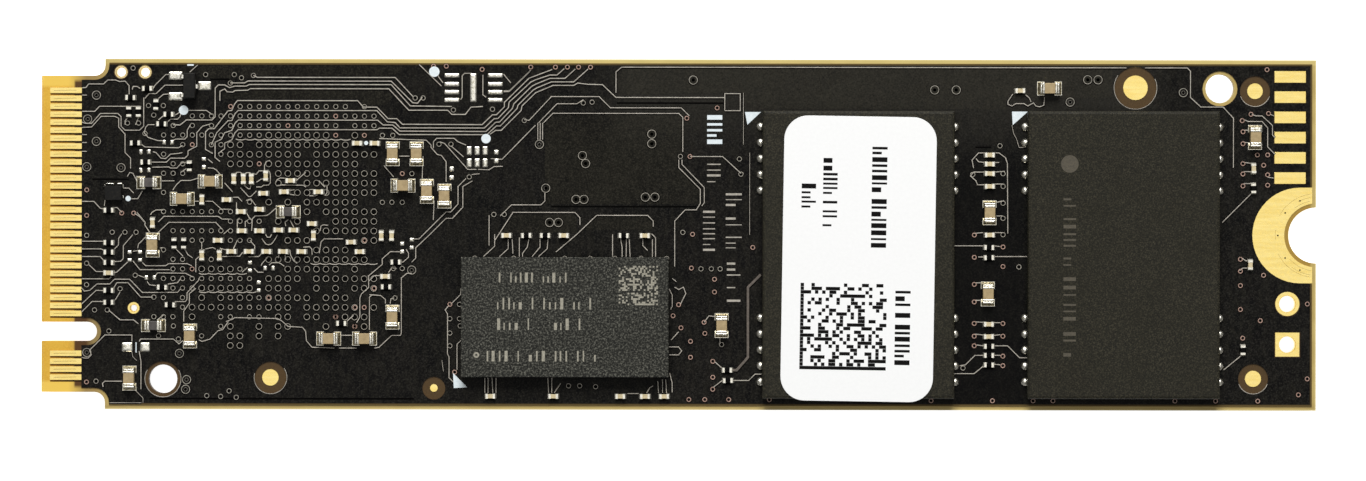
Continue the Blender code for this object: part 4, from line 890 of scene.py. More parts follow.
def build_gold(side):
    name = SIDE_NAMES[side]
    flanks, wipes, painted_contact_shadows = Shape(side), Shape(side), Shape(side)
    for y in CONTACTS[side]:
        foot = y - CONTACT_HALF
        # A dark strip painted along each contact's lower (-Y) side stands for its shadow.
        painted_contact_shadows.slab(rectangle(CONTACT_TIP + 0.02, CONTACT_END, foot - 0.110, foot + 0.004), LAMINATE_TOP + 0.0005,
                       LAMINATE_TOP + 0.004)
        for edge, spill in ((1, 0.014), (-1, 0.004)):
            near, far = y + edge * (CONTACT_HALF - 0.004), y + edge * (CONTACT_HALF + spill)
            low, high = sorted((near, far))
            ridge = rectangle(CONTACT_TIP, CONTACT_END, *sorted((near, near + edge * 0.004)))
            flanks.stack((rectangle(CONTACT_TIP - 0.02, CONTACT_END, low, high), LAMINATE_TOP + 0.001),
                         (ridge, FOIL_TOP + 0.001))
        wipes.ribbon([(0.78, y - 0.012), (1.2, y - 0.004), (2.2, y + 0.010)], 0.034, *WEAR)
    flanks.make(f"contact_flanks_{name}", GOLD_FLANK, "gold")
    wipes.make(f"contact_wipe_marks_{name}", GOLD_WORN, "gold")
    painted_contact_shadows.make(f"contact_shadows_painted_{name}", CONTACT_SHADOW_PAINT, "laminate")

    marks, dots = Shape(side), Shape(side)
    for radius, start, stop in ((2.62, 98, 152), (2.18, 100, 128), (2.40, 98, 118), (2.64, 206, 262), (2.22, 222, 262),
                                (2.50, 232, 262), (2.56, 172, 186)):
        marks.ribbon(arc(*NOTCH, radius, start, stop, 18), 0.026, *WEAR)
    marks.make(f"screw_wear_{name}", GOLD_WORN, "gold")
    for angle in (180, 144, -144, 115, -115):
        x, y = NOTCH[0] + 2.4 * cos(radians(angle)), NOTCH[1] + 2.4 * sin(radians(angle))
        dots.disc(x, y, 0.055, FOIL_TOP - 0.01, FOIL_TOP + 0.003, 10)
    dots.make(f"pad_vias_{name}", GROOVE, "gold")


def build_barrels():
    """Plated holes, gold from one face to the other."""
    shape, small = Shape(), Shape()
    top, seat = PAD_TOP, FOIL_LOW
    for target, rows in ((shape, BARRELS), (small, PALE_BARRELS)):
        for x, y, inside, hole, land in rows:
            target.turned(x, y, (
                (land, seat), (land - 0.012, top), (inside + 0.025, top), (inside, top - 0.03), (inside, 0.03 - top),
                (inside + 0.025, -top), (land - 0.012, -top), (land, -seat), (hole, -seat), (hole, seat)), 28)
    x, y, inside, hole, half = SQUARE_PAD
    section = ((None, half, seat), (None, half - 0.012, top), (inside + 0.025, None, top), (inside, None, top - 0.03),
               (inside, None, 0.03 - top), (inside + 0.025, None, -top), (None, half - 0.012, -top),
               (None, half, -seat), (hole, None, -seat), (hole, None, seat))
    loops = [shape.loop(square_round(x, y, across) if radius is None else circle(x, y, radius, 32), height)
             for radius, across, height in section]
    for low, high in zip(loops, loops[1:] + loops[:1]):
        shape.wall(low, high)
    shape.make("plated_holes", GOLD, "gold", smooth=40)
    small.make("plated_holes_small", GOLD_PALE, "gold", smooth=40)


def build_test_points():
    discs = Shape()
    for x, y, radius in TEST_DISCS:
        discs.disc(x, y, radius, FOIL_LOW, PAD_TOP, 28, 0.012)
    for x, y in PROGRAM_PADS:
        outer, inner = placed(rounded(1.98, 0.745, 0.03), x, y), placed(rounded(1.95, 0.715, 0.03), x, y)
        discs.stack((outer, FOIL_LOW), (outer, PAD_TOP - 0.012), (inner, PAD_TOP))
    discs.make("test_and_program_pads", GOLD, "gold")


build_gold(FRONT)
build_gold(BACK)
build_barrels()
build_test_points()

# ---------------------------------------------------------------- chip parts

# Large capacitors, ferrite beads and power inductors, at the CAD's own places.
# The sizes of one: length, width and height, length of a metal end, length and width of its solder.
CAPACITOR = ((1.20, 0.70, 0.62), 0.28, (1.56, 0.88))
FERRITE_BEAD = ((1.10, 0.60, 0.40), 0.32, (1.56, 0.82))
POWER_INDUCTOR = ((2.5, 2.0, 1.00), 0.45, (2.9, 2.1), 0.03)
CAPACITORS = (
    (8.85, 2.20, LYING), (10.60, 3.30, LYING), (7.00, -0.70, STANDING), (9.35, -6.40, STANDING),
    (5.55, -9.05, STANDING), (18.05, -6.55, LYING), (20.30, -6.55, LYING), (22.05, 5.05, STANDING),
    (23.55, 5.05, STANDING), (22.70, 3.05, LYING), (24.20, 2.70, STANDING), (25.30, 2.40, STANDING),
    (22.05, -5.20, STANDING), (42.70, -5.70, STANDING), (59.50, 1.40, STANDING), (59.40, -3.70, STANDING),
    (63.25, 9.20, LYING), (76.15, 6.15, STANDING),
)
FERRITE_BEADS = ((6.75, 3.22, LYING), (15.50, 1.40, LYING), (7.05, -5.75, LYING))
POWER_INDUCTORS = ((28.2, 7.6, LYING), (28.2, 4.2, LYING))
# The smallest parts: r resistors, c capacitors. Flat rows of x, y.
TINY_HEIGHTS, TINY_SEAT = {"r": 0.23, "c": 0.30}, 0.425
SMALL_RESISTORS_LYING = (
    6.65, 9.12, 5.6, 8.55, 8.0, 7.5, 7.55, 6.9, 5.9, 5.7, 6.55, 4.5, 4.25, 1.48, 4.25, -0.55, 4.25, -1.15, 4.25, -1.8,
    4.25, -3.55, 4.25, -4.3, 7.6, -3.35, 8.1, -4.45, 22.25, -1.75, 21.65, -3.3, 18.85, -5.6, 43.05, -8.5, 43.1, -9.15,
    59.47, -0.78, 59.47, -1.42, 59.47, -6.98, 59.47, -7.55, 59.47, -8.15, 30.44, -0.07, 31.62, -0.07, 36.55, -0.07,
)
SMALL_RESISTORS_STANDING = (7.2, 8.1, 5.5, 7.65, 6.1, 7.65, 9.3, 4.25, 8.35, -0.6, 8.95, -0.6, 76.05, 2.95, 75.4, -7.2)
SMALL_CAPACITORS_LYING = (
    15.65, 3.35, 15.25, 2.65, 13.95, 2.55, 17.4, 2.65, 11.65, 2.15, 12.55, 1.4, 13.7, 1.55, 17.0, 0.65, 12.6, 0.2,
    13.7, 0.2, 14.9, 0.25, 15.85, 0.25, 11.1, -0.4, 11.95, -1.1, 13.05, -1.1, 14.15, -1.1, 15.2, -1.1, 16.35, -1.1,
    19.45, -0.5, 20.0, -1.1, 21.6, -2.65, 4.25, -2.45, 29.19, -0.07, 32.79, -0.07, 37.88, -0.07, 28.2, -10.15,
    32.15, -10.15, 36.35, -10.15, 37.9, -10.15, 39.1, -10.15, 61.4, 9.05, 19.82, 5.7, 20.93, 5.7, 59.5, 5.02,
    59.5, 4.45, 59.5, 3.85, 59.5, 3.05, 59.5, 0.0, 59.45, -5.6, 59.45, -6.37,
)
SMALL_CAPACITORS_STANDING = (
    12.1, 3.45, 12.7, 3.45, 13.2, 3.45, 14.1, 3.65, 10.1, 2.15, 7.0, 0.7, 17.1, -0.1, 10.1, -1.35, 11.2, -1.35,
    21.35, -0.1, 22.0, -0.1, 76.05, 4.2, 75.85, -1.85,
)
EMPTY_PAIRS_LYING = (7.95, 5.75, 6.5, 5.15, 6.5, 4.0, 6.85, -2.75, 14.3, -2.15)
EMPTY_PAIRS_STANDING = (10.2, 4.45, 5.55, -1.4, 6.2, -1.4, 13.1, -2.05, 13.65, -3.3, 22.65, -0.85, 23.25, -0.6)
# Single tinned lands: x, y, length, width.
EMPTY_LANDS = [
    (8.42, 9.93, 0.88, 0.52), (8.42, 8.63, 0.90, 0.52), (10.23, 9.3, 0.85, 0.56), (5.40, -7.1, 0.68, 0.58),
    (6.52, -7.1, 0.62, 0.58), (27.1, 9.2, 0.42, 1.80),
    (28.55, 5.15, 0.32, 0.30), (28.55, 4.6, 0.32, 0.30), (25.75, 4.1, 0.32, 0.30), (25.75, 3.55, 0.32, 0.30),
    (4.32, 3.15, 0.56, 0.07), (4.92, 3.15, 0.34, 0.10), (5.14, 2.98, 0.09, 0.26), (5.14, 2.32, 0.09, 0.24),
    (4.0, 3.02, 0.07, 0.20),
] + [(x, y, 0.95, 0.27) for x in (25.75, 28.48) for y in (9.97, 9.42, 8.92, 8.42)] + [
    (x, y, 0.34, 0.56) for x in (26.85, 27.35, 27.85) for y in (5.25, 4.48)]


class ChipParts:
    """Two-ended parts of one side, sorted into their materials."""

    def __init__(self, side):
        self.side = side
        self.solder, self.ends, self.fillets, self.shades = (Shape(side) for _ in range(4))
        self.bodies = {}
        self.random = Random(41 + side)

    def body(self, name):
        return self.bodies.setdefault(name, Shape(self.side))

    def lump(self, shape, x, y, turn, levels):
        """Solder through rectangles given as height, near end, far end and half width."""
        shape.stack(*((placed(rectangle(near, far, -half, half), x, y, turn), height)
                      for height, near, far, half in levels))

    def land(self, x, y, length, width, turn=0.0):
        """A tinned land with nothing on it: a low pillow of solder."""
        small = min(length, width)
        layers = [(placed(rounded(length - inset * small, width - inset * small, 0.05 * (1 - inset), 2), x, y, turn), z)
                  for inset, z in ((0.0, 0.395), (0.04, 0.425), (0.22, 0.446), (0.5, 0.458), (0.8, 0.463))]
        self.solder.stack(*layers)

    def tiny(self, x, y, turn, kind):
        """A part 0.6 mm long, with its solder climbing the ends."""
        askew = turn + self.random.uniform(-1.5, 1.5)
        tall = TINY_HEIGHTS[kind]
        seat = TINY_SEAT
        # Painted shadow: a dark patch under the part, set a little towards -Y.
        self.shades.slab(placed(rounded(0.50, 0.42, 0.08, 2), x, y - 0.05, askew), LINE_LOW, SHADOW_PAINT_TOP + 0.001)
        self.body("tiny_" + kind).block(x, y, 0.40, 0.27, seat, seat + tall - 0.01, askew, 0.02, 0.01)
        for turned in (askew, askew + 180):
            self.lump(self.ends, x, y, turned, (
                (0.400, 0.150, 0.375, 0.165), (0.426, 0.150, 0.362, 0.165), (seat + 0.06, 0.150, 0.326, 0.160),
                (seat + tall * 0.5, 0.150, 0.312, 0.156), (seat + tall - 0.015, 0.150, 0.306, 0.154),
                (seat + tall, 0.158, 0.296, 0.144)))

    def large(self, x, y, turn, name, size, end, land, body_proud=0.02):
        """A capacitor, bead or inductor: body, metal ends with a seam, solder fillets and the lands' bright rims."""
        length, width, height = size
        half, top = length / 2, SEAT + height
        self.body(name).block(x, y, length - end * 1.6, width - 2 * body_proud, SEAT + body_proud, top - body_proud,
                              turn, 0.025, 0.02)
        for direction in (turn, turn + 180):
            across, up = cos(radians(direction)), sin(radians(direction))
            for middle, long, drop in ((half - end * 0.74, end * 0.52, 0.0), (half - end * 0.23, end * 0.44, 0.012)):
                self.solder.block(x + middle * across, y + middle * up, long, width, SEAT, top - drop, turn, 0.035,
                                  0.03)
            reach, side = land[0] / 2, land[1] / 2
            self.lump(self.fillets, x, y, direction, (
                (0.396, half - end, reach, side), (0.420, half - end, reach - 0.01, side - 0.005),
                (0.428, half - end + 0.02, reach - 0.05, side - 0.05),
                (SEAT + height * 0.10, half - 0.10, reach - 0.09, side - 0.07),
                (SEAT + height * 0.32, half - 0.10, half + 0.055, width / 2 + 0.012),
                (SEAT + height * 0.62, half - 0.10, half + 0.014, width / 2 - 0.02)))
            rim = placed([(half - end, side - 0.02), (reach - 0.02, side - 0.02), (reach - 0.02, 0.02 - side),
                          (half - end, 0.02 - side)], x, y, direction)
            self.solder.ribbon(rim, 0.045, 0.400, 0.436, 0.012)


def build_front_parts():
    parts = ChipParts(FRONT)
    for x, y, turn in CAPACITORS:
        parts.large(x, y, turn, "large_c", *CAPACITOR)
    for x, y, turn in FERRITE_BEADS:
        parts.large(x, y, turn, "bead", *FERRITE_BEAD)
    for numbers, turn, kind in ((SMALL_RESISTORS_LYING, LYING, "r"), (SMALL_RESISTORS_STANDING, STANDING, "r"),
                                (SMALL_CAPACITORS_LYING, LYING, "c"), (SMALL_CAPACITORS_STANDING, STANDING, "c")):
        for x, y in pairs(numbers):
            parts.tiny(x, y, turn, kind)
    for numbers, turn in ((EMPTY_PAIRS_LYING, LYING), (EMPTY_PAIRS_STANDING, STANDING)):
        for x, y in pairs(numbers):
            for offset in (-0.25, 0.25):
                across = offset if turn == LYING else 0.0
                parts.land(x + across, y + offset - across, 0.25, 0.30, turn)
    for x, y, length, width in EMPTY_LANDS:
        parts.land(x, y, length, width)
    parts.solder.make("solder_front", TIN, "ceramic", smooth=50)
    parts.ends.make("small_part_ends_front", TIN_END, "ceramic", smooth=50)
    parts.fillets.make("solder_fillets_front", FILLET, "ceramic", smooth=50)
    parts.shades.make("part_shadows_painted_front", SHADOW_PAINT, "solder_mask")
    ceramics = [name for name in nodes if name.startswith("capacitor_")]
    beads = [name for name in nodes if name.startswith("ferrite_bead_")]
    parts.body("large_c").make("capacitor_ceramics", CERAMIC, "ceramic", ceramics)
    parts.body("bead").make("bead_ferrites", FERRITE, "ferrite", beads)
    parts.body("tiny_r").make("small_resistors_front", RESISTOR, "ceramic")
    parts.body("tiny_c").make("small_capacitors_front", CREAM, "ceramic")


build_front_parts()


def build_transistor():
    """The three-leaded transistor: a moulded body with a parting line, and bent leads."""
    x, y = 9.33, 9.28
    body = Shape()
    low, middle, top = SEAT + 0.04, SEAT + 0.34, SEAT + 0.72
    body.stack((placed(rounded(0.76, 1.56, 0.02), x, y), low), (placed(rounded(0.80, 1.62, 0.02), x, y), middle),
               (placed(rounded(0.72, 1.54, 0.02), x, y), top - 0.02), (placed(rounded(0.68, 1.50, 0.02), x, y), top))
    body.make("transistor_body", EPOXY_PLAIN, "mould_epoxy", ["transistor"])
    leads = Shape()
    for direction, offset in ((180, 0.58), (180, -0.58), (0, -0.04)):
        path = ((0.36, middle + 0.03), (0.50, middle + 0.03), (0.58, middle - 0.02), (0.60, SEAT + 0.06),
                (0.64, SEAT + 0.01), (0.80, SEAT))
        for (near, high), (far, after) in zip(path, path[1:]):
            foot = placed(rectangle(near, far, -0.12, 0.12), x, y + offset, direction)
            start = len(leads.points)
            for (u, v), height in zip(foot * 2, (high, after, after, high, high + 0.07, after + 0.07, after + 0.07,
                                                 high + 0.07)):
                leads.points.append((u, v, height - 0.02))
            leads.faces += [tuple(start + i for i in face) for face in (
                (3, 2, 1, 0), (4, 5, 6, 7), (0, 1, 5, 4), (1, 2, 6, 5), (2, 3, 7, 6), (3, 0, 4, 7))]
    leads.make("transistor_leads", TIN, "gold")


build_transistor()

# ---------------------------------------------------------------- packages

# Packages: name, x, y, length, width, ball pitch, side.
PACKAGES = (
    ("nand_front_left", *NANDS[0], 12.0, 18.0, 1.0, FRONT), ("nand_front_right", *NANDS[1], 12.0, 18.0, 1.0, FRONT),
    ("nand_back_left", *NANDS[0], 12.0, 18.0, 1.0, BACK), ("nand_back_right", *NANDS[1], 12.0, 18.0, 1.0, BACK),
    ("dram_front", *DRAM, 13.0, 7.5, 0.8, FRONT), ("dram_back", *DRAM, 13.0, 7.5, 0.8, BACK),
    ("controller", 14.6, 0.4, 16.0, 16.0, 0.65, BACK),
)


BALL_INSET, BALL_RADIUS = 0.45, 0.15


def spread(half, pitch):
    """Evenly spaced places from -half to half, about a pitch apart."""
    count = round(2 * half / pitch)
    return [-half + 2 * half * index / count for index in range(count + 1)]


def build_balls():
    """The outermost row of solder balls under each package; the CAD's slab stands for the rest."""
    for name, x, y, length, width, pitch, side in PACKAGES:
        balls = Shape(side)
        half, reach = length / 2 - BALL_INSET, width / 2 - BALL_INSET
        across, up = spread(half, pitch), spread(reach, pitch)
        spots = [(u, v) for u in across for v in (-reach, reach)] + [(u, v) for u in (-half, half) for v in up[1:-1]]
        for u, v in spots:
            balls.ball(x + u, y + v, BALL_RADIUS, BALL_LOW, BALL_TOP)
        balls.make(f"{name}_balls", TIN, "substrate", smooth=60)


def build_side_solder():
    """Bright solder that shows in two rows at each long side of the large packages."""
    for side in (FRONT, BACK):
        lumps = Shape(side)
        for x, y in NANDS:
            for first in (8.03, -3.97):
                for index in range(5):
                    up = y + (first - index)
                    lumps.dome(x - 6.10, up, 0.30, 0.28, MASK_TOP - 0.01, 0.25)
                    lumps.dome(x + 6.10, up, 0.26, 0.28, MASK_TOP - 0.01, 0.26)
        lumps.make(f"package_side_solder_{SIDE_NAMES[side]}", TIN, "substrate", smooth=60)


build_balls()
build_side_solder()

# ---------------------------------------------------------------- markings, label and silkscreen

MARK_DEPTH = 0.004


def bar_row(shape, random, x, y, length, height, low, top, turn=0.0, stroke=0.13, gap=0.16):
    """A row of plain upright bars of uneven width and height: it stands for a line of print and says nothing."""
    at = 0.0
    while at < length - stroke:
        width = stroke * random.choice((0.8, 1.0, 1.0, 1.9))
        tall = height * random.choice((1.0, 1.0, 0.62))
        outline = rectangle(at, min(at + width, length), -height / 2, -height / 2 + tall)
        shape.slab(placed(outline, x, y, turn), low, top)
        at += width + gap * random.choice((0.8, 1.0, 1.0, 2.4))


def dot_patch(shape, random, x, y, columns, rows, module, low, top, turn=0.0, fill=0.5, border=False):
    """Seeded dots in a square grid, run together along rows. They carry no data."""
    for row in range(rows):
        column = 0
        while column < columns:
            solid = border and (row == 0 or column == 0)
            if not solid and random.random() > fill:
                column += 1
                continue
            stop = column + 1
            while stop < columns and (border and row == 0 or random.random() < fill * 0.8):
                stop += 1
            outline = rectangle(column * module, stop * module - module * 0.06, row * module, (row + 0.94) * module)
            shape.slab(placed(outline, x, y, turn), low, top)
            column = stop + 1 if row else stop


def build_markings():
    random = Random(7)
    pale = Shape()
    low, top = DRAM_TOP - 0.01, DRAM_TOP + MARK_DEPTH
    for x, y, length, height in ((28.75, -2.7, 4.4, 0.62), (28.65, -4.33, 5.9, 0.72), (28.65, -5.62, 2.1, 0.72),
                                 (32.2, -5.62, 2.3, 0.72), (28.0, -7.62, 7.1, 0.66)):
        bar_row(pale, random, x, y, length, height, low, top, 0.0, 0.10, 0.26)
    dot_patch(pale, random, 36.25, -4.42, 22, 22, 0.112, low, top, 0.0, 0.42)
    pale.ring(27.35, -7.55, 0.07, 0.19, low, top, 16, 0.004)
    pale.make("dram_marking", LASER_DRAM, "mould_epoxy")
    dim = Shape()
    low, top = NAND_TOP - 0.01, NAND_TOP + MARK_DEPTH
    dim.disc(64.45, 4.45, 0.55, low, top, 28)
    for start, length in ((2.3, 3.4), (-1.4, 2.6), (-4.3, 3.6)):
        bar_row(dim, random, 64.45, start, length, 0.78, low, top, -90.0, 0.12, 0.30)
    dim.make("nand_marking", LASER_NAND, "mould_epoxy")


LABEL_CENTRE, LABEL_TURN = (51.25, -1.5), -0.85


def build_label():
    """The label with plain bars and a meaningless dot matrix in place of its print."""
    sheet = Shape()
    outline, drawn = rounded(9.54, 17.82, 1.5, 10), rounded(9.52, 17.80, 1.49, 10)
    sheet.stack((placed(outline, *LABEL_CENTRE, LABEL_TURN), LABEL_LOW),
                (placed(outline, *LABEL_CENTRE, LABEL_TURN), LABEL_TOP - 0.02),
                (placed(drawn, *LABEL_CENTRE, LABEL_TURN), LABEL_TOP))
    sheet.make("label_sheet", PAPER, "label_paper", ["label"])
    random = Random(23)
    ink = Shape()
    low, top = LABEL_TOP - 0.01, PRINT_TOP
    dot_patch(ink, random, 47.55, -8.40, 24, 24, 0.2255, low, top, LABEL_TURN, 0.5, True)
    turn = -90.0 + LABEL_TURN
    for x, y, length, height in ((54.03, -3.5, 4.9, 0.95), (48.14, 3.2, 1.6, 0.9), (49.50, 4.8, 4.8, 0.9),
                                 (52.58, 5.5, 6.3, 0.95)):
        bar_row(ink, random, x, y, length, height, low, top, turn, 0.16, 0.18)
    ink.make("label_print", INK, "label_paper")


def build_silkscreen():
    silk = Shape()
    low, top = SILK_LOW, SILK_TOP
    for x, y, radius in ((8.92, 7.76, 0.30), (5.45, 2.21, 0.17), (24.65, 10.2, 0.33), (27.9, 6.0, 0.30)):
        silk.disc(x, y, radius, low, top, 24, 0.01)
    silk.slab(rectangle(9.15, 9.55, 10.55, 10.65), low, top)
    silk.slab(rectangle(5.93, 5.99, -7.45, -6.8), low, top)
    silk.disc(20.38, 5.72, 0.13, low, top, 12)
    for numbers in ((44.15, 7.7, 44.3, 6.9, 45.15, 7.7), (60.9, 7.75, 60.95, 6.9, 61.9, 7.75),
                    (25.85, -8.7, 25.9, -9.65, 26.75, -9.6)):
        silk.slab(pairs(numbers), low, top)
    random = Random(41)
    bar_row(silk, random, 42.25, 7.5, 1.9, 0.95, low, top, -90.0, 0.15, 0.22)
    silk.make("silkscreen_front", SILK, "solder_mask")
    strokes = Shape()
    for x, y, length, height in ((42.2, 4.45, 1.3, 0.85), (41.9, 1.5, 3.1, 0.75), (43.45, 2.6, 3.7, 1.0),
                                 (43.45, -1.75, 2.6, 0.85)):
        bar_row(strokes, random, x, y, length, height, LINE_LOW, LINE_TOP, -90.0, 0.07, 0.30)
    strokes.make("board_strokes_front", RAISED_SHEEN, "solder_mask")


def build_back_markings():
    """Plain bars on the packages of the back, in place of their print."""
    random = Random(11)
    pale, dim = Shape(BACK), Shape(BACK)
    for node, shape, rows, length, height in (
            ("controller_mould", pale, 4, 9.0, 1.0), ("power_manager", pale, 2, 2.6, 0.55),
            ("dram_back_mould", pale, 4, 6.5, 0.7), ("nand_back_left_mould", dim, 3, 7.0, 0.8),
            ("nand_back_right_mould", dim, 3, 7.0, 0.8)):
        corner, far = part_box(node)
        left, low, top = corner[0] / MM, corner[1] / MM, -corner[2] / MM
        wide, deep = far[0] / MM - left, far[1] / MM - low
        for row in range(rows):
            bar_row(shape, random, left + wide * 0.14, low + deep * (0.70 - 0.14 * row), length, height, top - 0.01,
                    top + 0.0015, 0.0, 0.12, 0.26)
        shape.disc(left + wide * 0.10, low + deep * 0.10, min(wide, deep) * 0.035, top - 0.01, top + 0.0015, 24)
    pale.make("chip_marking_back", LASER_DRAM, "mould_epoxy")
    dim.make("nand_marking_back", LASER_NAND, "mould_epoxy")


build_markings()
build_back_markings()
build_label()
build_silkscreen()

# ---------------------------------------------------------------- the back

BACK_TRACES_FREE = (
    (3.0, 9.3, 5.6, 9.3), (22.9, 9.3, 24.6, 7.6), (31.0, 9.2, 33.0, 9.2, 34.5, 8.4), (36.2, 6.5, 38.8, 6.5, 40.2, 5.1),
    (24.0, -8.6, 26.0, -9.9, 39.0, -9.9, 40.4, -8.5), (40.2, 3.1, 42.4, 3.1, 44.0, 1.5), (75.2, 6.0, 77.4, 6.0),
    (58.2, 6.2, 60.8, 6.2), (58.2, -7.3, 60.8, -7.3), (75.0, -6.4, 77.6, -6.4, 78.0, -5.8),
)


def hidden_on_back(x, y, margin=0.3):
    return any(left - margin < x < right + margin and low - margin < y < high + margin
               for left, right, low, high in BACK_HIDDEN)


def build_back():
    """The side that the photo doesn't show, finished in the same way with plain routing of its own."""
    rings, painted_shadows, copper_rings = Shape(BACK), Shape(BACK), Shape(BACK)
    for x, y, kind in all_vias():
        under_power_parts = 27.0 < x < 36.2
        under_crystal = hypot(x - CRYSTAL[0], y - CRYSTAL[1]) < 1.6
        if not hidden_on_back(x, y) and not under_power_parts and not under_crystal:
            add_via(rings, painted_shadows, copper_rings, x, y, kind)
    lines = Shape(BACK)
    for index, y in enumerate(CONTACTS[BACK]):
        if index % 3 != 2 and abs(y) < 8.4:
            lane = index % 4
            lines.ribbon([(2.56, y), (3.2 + 0.25 * lane, y), (4.4 + 0.2 * lane, y * 0.93), (6.9, y * 0.93)],
                         BACK_WIDTH, LINE_LOW, LINE_TOP)
    for index in range(11):
        y = 7.4 - index * 0.28
        lines.ribbon([(22.4, y), (24.2, y), (25.2 + index * 0.05, y - 1.0 - index * 0.02), (26.6, y - 1.0)],
                     BACK_FINE_WIDTH, LINE_LOW, LINE_TOP)
    for index in range(14):
        x = 40.2 + index * 0.27
        lines.ribbon([(x, -9.6 + (index % 3) * 0.3), (x, -2.0 + index * 0.15), (x + 0.5, -1.4 + index * 0.15)],
                     BACK_FINE_WIDTH, LINE_LOW, LINE_TOP)
    for index in range(9):
        y = -2.2 - index * 0.72
        lines.ribbon([(22.5, y), (23.3, y), (24.0, y - 0.25)], BACK_FINE_WIDTH, LINE_LOW, LINE_TOP)
    for numbers in BACK_TRACES_FREE:
        lines.ribbon(pairs(numbers), BACK_WIDTH, LINE_LOW, LINE_TOP)
    lines.make("traces_back", RAISED_SHEEN, "solder_mask")
    rings.make("via_rings_back", RAISED_SHEEN, "solder_mask")
    painted_shadows.make("shadow_paint_back", SHADOW_PAINT, "solder_mask")
    copper_rings.make("via_lands_back", COPPER_VIA, "solder_mask")

    parts = ChipParts(BACK)
    for x, y, turn in POWER_INDUCTORS:
        parts.large(x, y, turn, "inductor", *POWER_INDUCTOR)
    for index in range(6):
        y = 7.5 - index * 2.7
        parts.tiny(59.5, y, LYING, "c")
        parts.tiny(59.5, y - 0.62, LYING, "r")
        parts.tiny(75.6, y - 0.4, STANDING, "c")
        parts.tiny(43.0, y - 0.9, LYING, "rc"[index % 2])
    for index in range(9):
        parts.tiny(24.0 + index * 1.05, 9.85, STANDING, "cr"[index % 3 == 0])
        parts.tiny(27.4 + index * 1.35, -10.0, LYING, "c")
        parts.tiny(28.0 + index * 1.2, -0.4, LYING, "rc"[index % 2])
    for x, y, turn in ((37.4, 7.6, STANDING), (38.9, 7.6, STANDING), (37.2, 3.4, LYING), (31.2, 1.4, LYING),
                       (35.0, 1.4, LYING), (5.0, 8.9, LYING), (59.5, -9.3, LYING), (76.2, 6.3, STANDING)):
        parts.large(x, y, turn, "large_c", *CAPACITOR)
    coils = [name for name in nodes if name.startswith("power_inductor_")]
    parts.solder.make("solder_back", TIN, "ceramic", smooth=50)
    parts.ends.make("small_part_ends_back", TIN_END, "ceramic", smooth=50)
    parts.body("inductor").make("inductor_ferrites", FERRITE, "ferrite", coils)
    parts.body("large_c").make("large_capacitors_back", CERAMIC, "ceramic")
    parts.body("tiny_r").make("small_resistors_back", RESISTOR, "ceramic")
    parts.body("tiny_c").make("small_capacitors_back", CREAM, "ceramic")
    parts.fillets.make("solder_fillets_back", FILLET, "ceramic", smooth=50)
    parts.shades.make("part_shadows_painted_back", SHADOW_PAINT, "solder_mask")

    leads = Shape(BACK)
    for index in range(8):
        for direction in range(4):
            offset = -1.75 + index * 0.5
            outline = placed(rectangle(2.46, 2.78, offset - 0.12, offset + 0.12), *POWER_MANAGER, 90 * direction)
            leads.slab(outline, 0.398, SEAT + 0.09)
    for across in (-0.82, 0.82):
        for up in (-0.62, 0.62):
            x, y = CRYSTAL[0] + across, CRYSTAL[1] + up
            leads.slab(rectangle(x - 0.3, x + 0.3, y - 0.25, y + 0.25), 0.398, 0.43)
    leads.make("lead_frame_solder_back", TIN, "mould_epoxy")

    silk = Shape(BACK)
    low, top = SILK_LOW, SILK_TOP
    for x, y, radius in ((5.9, 8.2, 0.22), (30.7, 8.2, 0.22), (26.0, -8.6, 0.25), (44.6, 7.3, 0.28), (61.2, 7.3, 0.28)):
        silk.disc(x, y, radius, low, top, 24, 0.01)
    silk.make("silkscreen_back", SILK, "solder_mask")


build_back()

# ---------------------------------------------------------------- stage, light and camera

FLOOR_Z = cad_box[0].z - 0.00002
BOARD_TOP_Z = MASK_TOP * MM


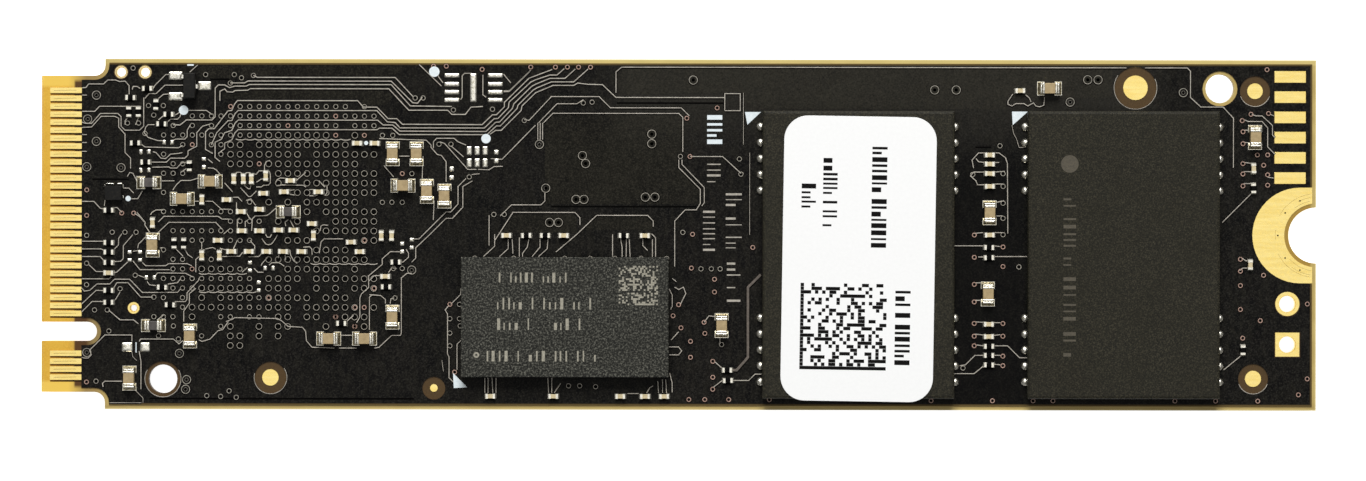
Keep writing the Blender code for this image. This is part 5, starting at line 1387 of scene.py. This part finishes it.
def build_stage():
    mesh = bpy.data.meshes.new("floor")
    reach = 20.0
    mesh.from_pydata([(-reach, -reach, FLOOR_Z), (reach, -reach, FLOOR_Z), (reach, reach, FLOOR_Z),
                      (-reach, reach, FLOOR_Z)], [], [(0, 1, 2, 3)])
    floor = bpy.data.objects.new("floor", mesh)
    bpy.context.scene.collection.objects.link(floor)
    look = Look("floor_look", Emission_Strength=0.9, Emission_Color=(1, 1, 1, 1))
    grain = look.noise(0.05, 2.0)
    colour, gloss = look.ramp(grain, (0.3, 0.86), (0.7, 0.88)), look.ramp(grain, (0.3, 0.7), (0.7, 0.8))
    mesh.materials.append(look.finish(colour, gloss))

    world = bpy.data.worlds.new("studio")
    bpy.context.scene.world = world
    world.use_nodes = True
    tree = world.node_tree
    seen, lit = tree.nodes["Background"], tree.nodes.new("ShaderNodeBackground")
    lit.inputs["Color"].default_value = (0.17, 0.17, 0.17, 1)
    seen.inputs["Color"].default_value = (1.0, 1.0, 1.0, 1)
    rays, choice = tree.nodes.new("ShaderNodeLightPath"), tree.nodes.new("ShaderNodeMixShader")
    tree.links.new(rays.outputs["Is Camera Ray"], choice.inputs[0])
    tree.links.new(lit.outputs[0], choice.inputs[1])
    tree.links.new(seen.outputs[0], choice.inputs[2])
    tree.links.new(choice.outputs[0], tree.nodes["World Output"].inputs["Surface"])


def add_softbox(name, place, size, watts):
    light = bpy.data.lights.new(name, "AREA")
    light.shape = "SQUARE"
    light.size = size
    light.energy = watts
    lamp = bpy.data.objects.new(name, light)
    bpy.context.scene.collection.objects.link(lamp)
    target = Vector((0.040, 0.0, 0.0))
    lamp.location = place
    lamp.rotation_euler = (target - Vector(place)).to_track_quat("-Z", "Y").to_euler()


def build_camera():
    camera = bpy.data.objects.new("camera", bpy.data.cameras.new("camera"))
    bpy.context.scene.collection.objects.link(camera)
    camera.data.sensor_width = 36.0
    camera.data.lens = 130.2
    camera.data.clip_start = 0.01
    camera.data.clip_end = 60.0
    camera.location = (0.04027, -0.00037, BOARD_TOP_Z + 0.310)
    camera.rotation_euler = (0.0, 0.0, radians(0.0824))
    bpy.context.scene.camera = camera


build_stage()
add_softbox("overhead", (0.04, 0.0, 0.75), 0.5, 0.80)
add_softbox("key", (0.02, 0.62, 0.55), 0.45, 8.2)
build_camera()
bpy.context.scene.view_settings.view_transform = "Standard"
